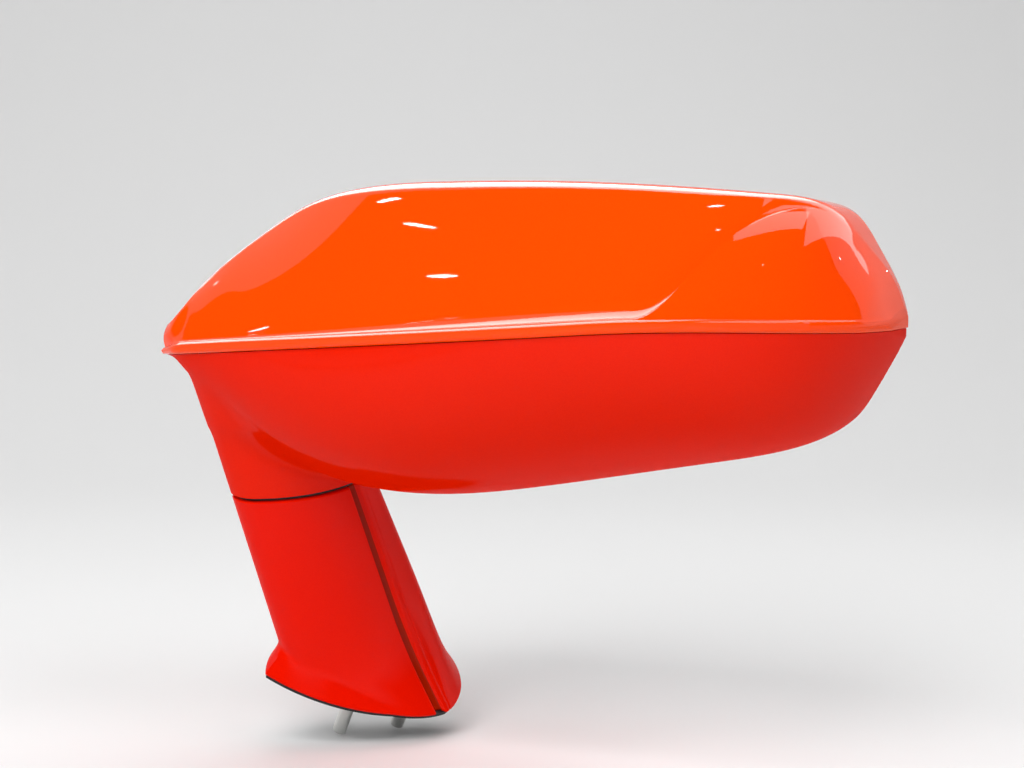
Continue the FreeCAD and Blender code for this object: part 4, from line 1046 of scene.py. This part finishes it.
NODE_FINISH = {
    "foot_gasket": rubber,
    "arm_core": cast_metal,
    "mount_studs": steel,
    "cable_grommet": rubber,
    "arm_front_cover": arm_shaded_paint,
    "arm_rear_cover": arm_shaded_paint,
    "pivot_post": steel,
    "hinge_ring": black_plastic,
    "lower_shell": belly_shaded_paint,
    "upper_cap": paint,
    "rim_bezel": black_plastic,
    "inner_frame": black_plastic,
    "pivot_housing": cast_metal,
    "fold_drive": black_plastic,
    "adjuster_body": black_plastic,
    "gimbal_ring": white_plastic,
    "glass_carrier": black_plastic,
    "mirror_glass": mirror_glass,
}
for name, finish in NODE_FINISH.items():
    nodes[name].data.materials.clear()
    nodes[name].data.materials.append(finish)
SKIN_FINISH = [
    (cap, (paint, black_plastic)),
    (shell, (belly_shaded_paint, black_plastic)),
    (front_cover, (arm_shaded_paint,)),
    (rear_cover, (arm_shaded_paint, groove_shadow_paint)),
]
for skin, finishes in SKIN_FINISH:
    for finish in finishes:
        skin.data.materials.append(finish)


# Studio.

FLOOR_GAP = 0.0005  # floor under the lowest point
STAGE_FRONT = 6.0
STAGE_BACK = 0.8  # where the floor begins to sweep up
STAGE_SWEEP = 1.2
STAGE_TOP = 6.0
STAGE_SIDE = 8.0
CAMERA_HEADING = math.radians(42.0)
FAR_FLOOR = (2.0, 4.0)  # distances over which the floor's own light comes up
FAR_LIGHT = 0.85


def larger(tree, first, second):
    """Node with the larger of two values."""
    node = tree.nodes.new("ShaderNodeMath")
    node.operation = "MAXIMUM"
    tree.links.new(first, node.inputs[0])
    tree.links.new(second, node.inputs[1])
    return node


def floor_material():
    """Pale and dull, with light of its own far off, only where it is seen directly or mirrored."""
    material, tree, shader = new_material("pale_floor")
    shader.inputs["Base Color"].default_value = (0.78, 0.78, 0.78, 1)
    shader.inputs["Roughness"].default_value = 0.8
    shader.inputs["Specular IOR Level"].default_value = 0.0
    place = tree.nodes.new("ShaderNodeNewGeometry")
    reach = tree.nodes.new("ShaderNodeVectorMath")
    reach.operation = "LENGTH"
    far = ranged(tree, reach.outputs["Value"], FAR_FLOOR, (0.0, FAR_LIGHT))
    paths = tree.nodes.new("ShaderNodeLightPath")
    seen = larger(tree, paths.outputs["Is Camera Ray"], paths.outputs["Is Transmission Ray"])
    seen_or_mirrored = larger(tree, seen.outputs["Value"], paths.outputs["Is Glossy Ray"])
    glow = tree.nodes.new("ShaderNodeMath")
    glow.operation = "MULTIPLY"
    tree.links.new(place.outputs["Position"], reach.inputs[0])
    tree.links.new(far.outputs["Result"], glow.inputs[0])
    tree.links.new(seen_or_mirrored.outputs["Value"], glow.inputs[1])
    tree.links.new(glow.outputs["Value"], shader.inputs["Emission Strength"])
    shader.inputs["Emission Color"].default_value = (1, 1, 1, 1)
    return material


def stage_plane():
    """Pale floor that sweeps up behind the mirror, square to the camera's heading."""
    level = cad_box[0].z - FLOOR_GAP
    back = Vector((-math.sin(CAMERA_HEADING), math.cos(CAMERA_HEADING), 0))
    side = Vector((math.cos(CAMERA_HEADING), math.sin(CAMERA_HEADING), 0))
    profile = [(-STAGE_FRONT, 0.0), (STAGE_BACK, 0.0)]
    for angle in np.linspace(0, math.pi / 2, 25)[1:]:
        profile.append((STAGE_BACK + STAGE_SWEEP * math.sin(angle), STAGE_SWEEP * (1 - math.cos(angle))))
    profile.append((STAGE_BACK + STAGE_SWEEP, STAGE_TOP))
    points = []
    for depth, height in profile:
        for reach in (-STAGE_SIDE, STAGE_SIDE):
            points.append(back * depth + side * reach + Vector((0, 0, level + height)))
    floor = mesh_object("studio_floor", points, grid_faces(len(profile), 2, False), None, 80.0)
    floor.data.materials.append(floor_material())


def area_light(name, spot, target, size, power, diffuse=True, glossy=True, shape="RECTANGLE", long_way=None):
    """Soft lamp aimed at a point, its first size along a direction where one is given."""
    lamp = bpy.data.lights.new(name, "AREA")
    lamp.shape = shape
    lamp.size = size[0]
    lamp.size_y = size[1]
    lamp.energy = power
    thing = bpy.data.objects.new(name, lamp)
    bpy.context.scene.collection.objects.link(thing)
    thing.location = spot
    thing.rotation_mode = "QUATERNION"
    aim = (Vector(target) - Vector(spot)).normalized()
    thing.rotation_quaternion = aim.to_track_quat("-Z", "Y")
    if long_way:
        first = (Vector(long_way) - aim * aim.dot(Vector(long_way))).normalized()
        thing.rotation_quaternion = Matrix((first, -aim.cross(first), -aim)).transposed().to_quaternion()
    thing.visible_diffuse = diffuse
    thing.visible_glossy = glossy


def ceiling_panel(name, spot, size, power, long_way=None):
    """Level panel that shows only as a reflection in the paint."""
    area_light(name, spot, (spot[0], spot[1], 0.0), size, power, diffuse=False, long_way=long_way)


stage_plane()
MIDDLE = Vector((0.06, -0.02, 0.14))
area_light("front_key", (0.7, -1.5, 1.5), MIDDLE, (1.2, 1.2), 36.0, glossy=False)
area_light("side_fill", (-1.4, -1.0, 0.8), MIDDLE, (1.2, 1.2), 6.0, glossy=False)
area_light("overhead_fill", (-0.2, 0.6, 1.7), MIDDLE, (1.6, 1.2), 14.0, glossy=False)
area_light("outboard_fill", (1.5, -0.3, 1.5), MIDDLE, (0.8, 0.8), 9.0, glossy=False)
ceiling_panel("ceiling_panel", (-0.86, 0.635, 1.0), (1.82, 1.03), 46.0)
ceiling_panel("ceiling_wing", (0.415, 0.351, 1.01), (0.575, 0.24), 2.1, (0.507, 0.862, 0.0))
ceiling_panel("ceiling_rear", (0.46, 1.40, 1.0), (0.92, 1.60), 17.7)

# Slim ceiling lamps whose reflections show as spots on the cap: place, length and width.
LAMP_WAY = (0.856, 0.119, 0.505)
CEILING_LAMPS = [
    ((-0.638, -0.291, 1.250), 0.080, 0.012),
    ((-0.552, -0.362, 1.250), 0.045, 0.010),
    ((-0.511, -0.528, 1.250), 0.060, 0.012),
    ((0.128, -0.012, 1.250), 0.060, 0.008),
    ((0.258, -0.093, 1.250), 0.026, 0.006),
    ((-1.222, -0.268, 1.204), 0.030, 0.014),
    ((-0.965, -0.769, 1.214), 0.014, 0.008),
    ((1.032, 0.114, 1.250), 0.020, 0.015),
    ((0.786, 1.092, 0.680), 0.010, 0.010),
    ((0.325, 1.316, 0.506), 0.010, 0.010),
]
LAMP_POWER = 120.0  # watts to a square metre of length times width
for number, (lamp_spot, length, width) in enumerate(CEILING_LAMPS, start=1):
    power = LAMP_POWER * length * width
    lamp_name = f"ceiling_lamp_{number}"
    area_light(lamp_name, lamp_spot, MIDDLE, (length, width), power, shape="ELLIPSE", long_way=LAMP_WAY)


DOME_HEIGHTS = (0.02, 0.2)  # of the mirrored direction, and the light there
DOME_LIGHTS = (0.8, 0.04)
SKY_LIGHT = 0.2


def mixed(tree, first, second, share):
    """Node that goes from one value to another by a linked share, each value a number or an output."""
    node = tree.nodes.new("ShaderNodeMix")
    node.data_type = "FLOAT"
    for socket, value in (("A", first), ("B", second)):
        if isinstance(value, float):
            node.inputs[socket].default_value = value
        else:
            tree.links.new(value, node.inputs[socket])
    tree.links.new(share, node.inputs["Factor"])
    return node


def make_world():
    """White where it is seen directly, brighter low down where it is mirrored, and dim as a light."""
    world = bpy.data.worlds.new("studio_world")
    bpy.context.scene.world = world
    world.use_nodes = True
    tree = world.node_tree
    sky = tree.nodes["Background"]
    paths = tree.nodes.new("ShaderNodeLightPath")
    way = tree.nodes.new("ShaderNodeTexCoord")
    parts_of_way = tree.nodes.new("ShaderNodeSeparateXYZ")
    tree.links.new(way.outputs["Generated"], parts_of_way.inputs["Vector"])
    dome = ranged(tree, parts_of_way.outputs["Z"], DOME_HEIGHTS, DOME_LIGHTS)
    shown = larger(tree, paths.outputs["Is Camera Ray"], paths.outputs["Is Transmission Ray"])
    mirrored = mixed(tree, SKY_LIGHT, dome.outputs["Result"], paths.outputs["Is Glossy Ray"])
    pale = mixed(tree, mirrored.outputs["Result"], 1.0, shown.outputs["Value"])
    tree.links.new(pale.outputs["Result"], sky.inputs["Strength"])
    sky.inputs["Color"].default_value = (1, 1, 1, 1)


make_world()

# Camera at the photograph's angle.
CAMERA_SPOT = Vector((0.7467, -0.7386, 0.2207))
CAMERA_BACK = Vector((0.6666, -0.7403, 0.0872))
camera = bpy.data.objects.new("photo_camera", bpy.data.cameras.new("photo_camera"))
bpy.context.scene.collection.objects.link(camera)
camera.data.lens = 85.0
camera.data.sensor_width = 36.0
camera.data.clip_start = 0.05
camera.data.clip_end = 50.0
camera.location = CAMERA_SPOT
camera.rotation_mode = "QUATERNION"
camera.rotation_quaternion = (-CAMERA_BACK).to_track_quat("-Z", "Y")
bpy.context.scene.camera = camera
bpy.context.scene.view_settings.view_transform = "Standard"
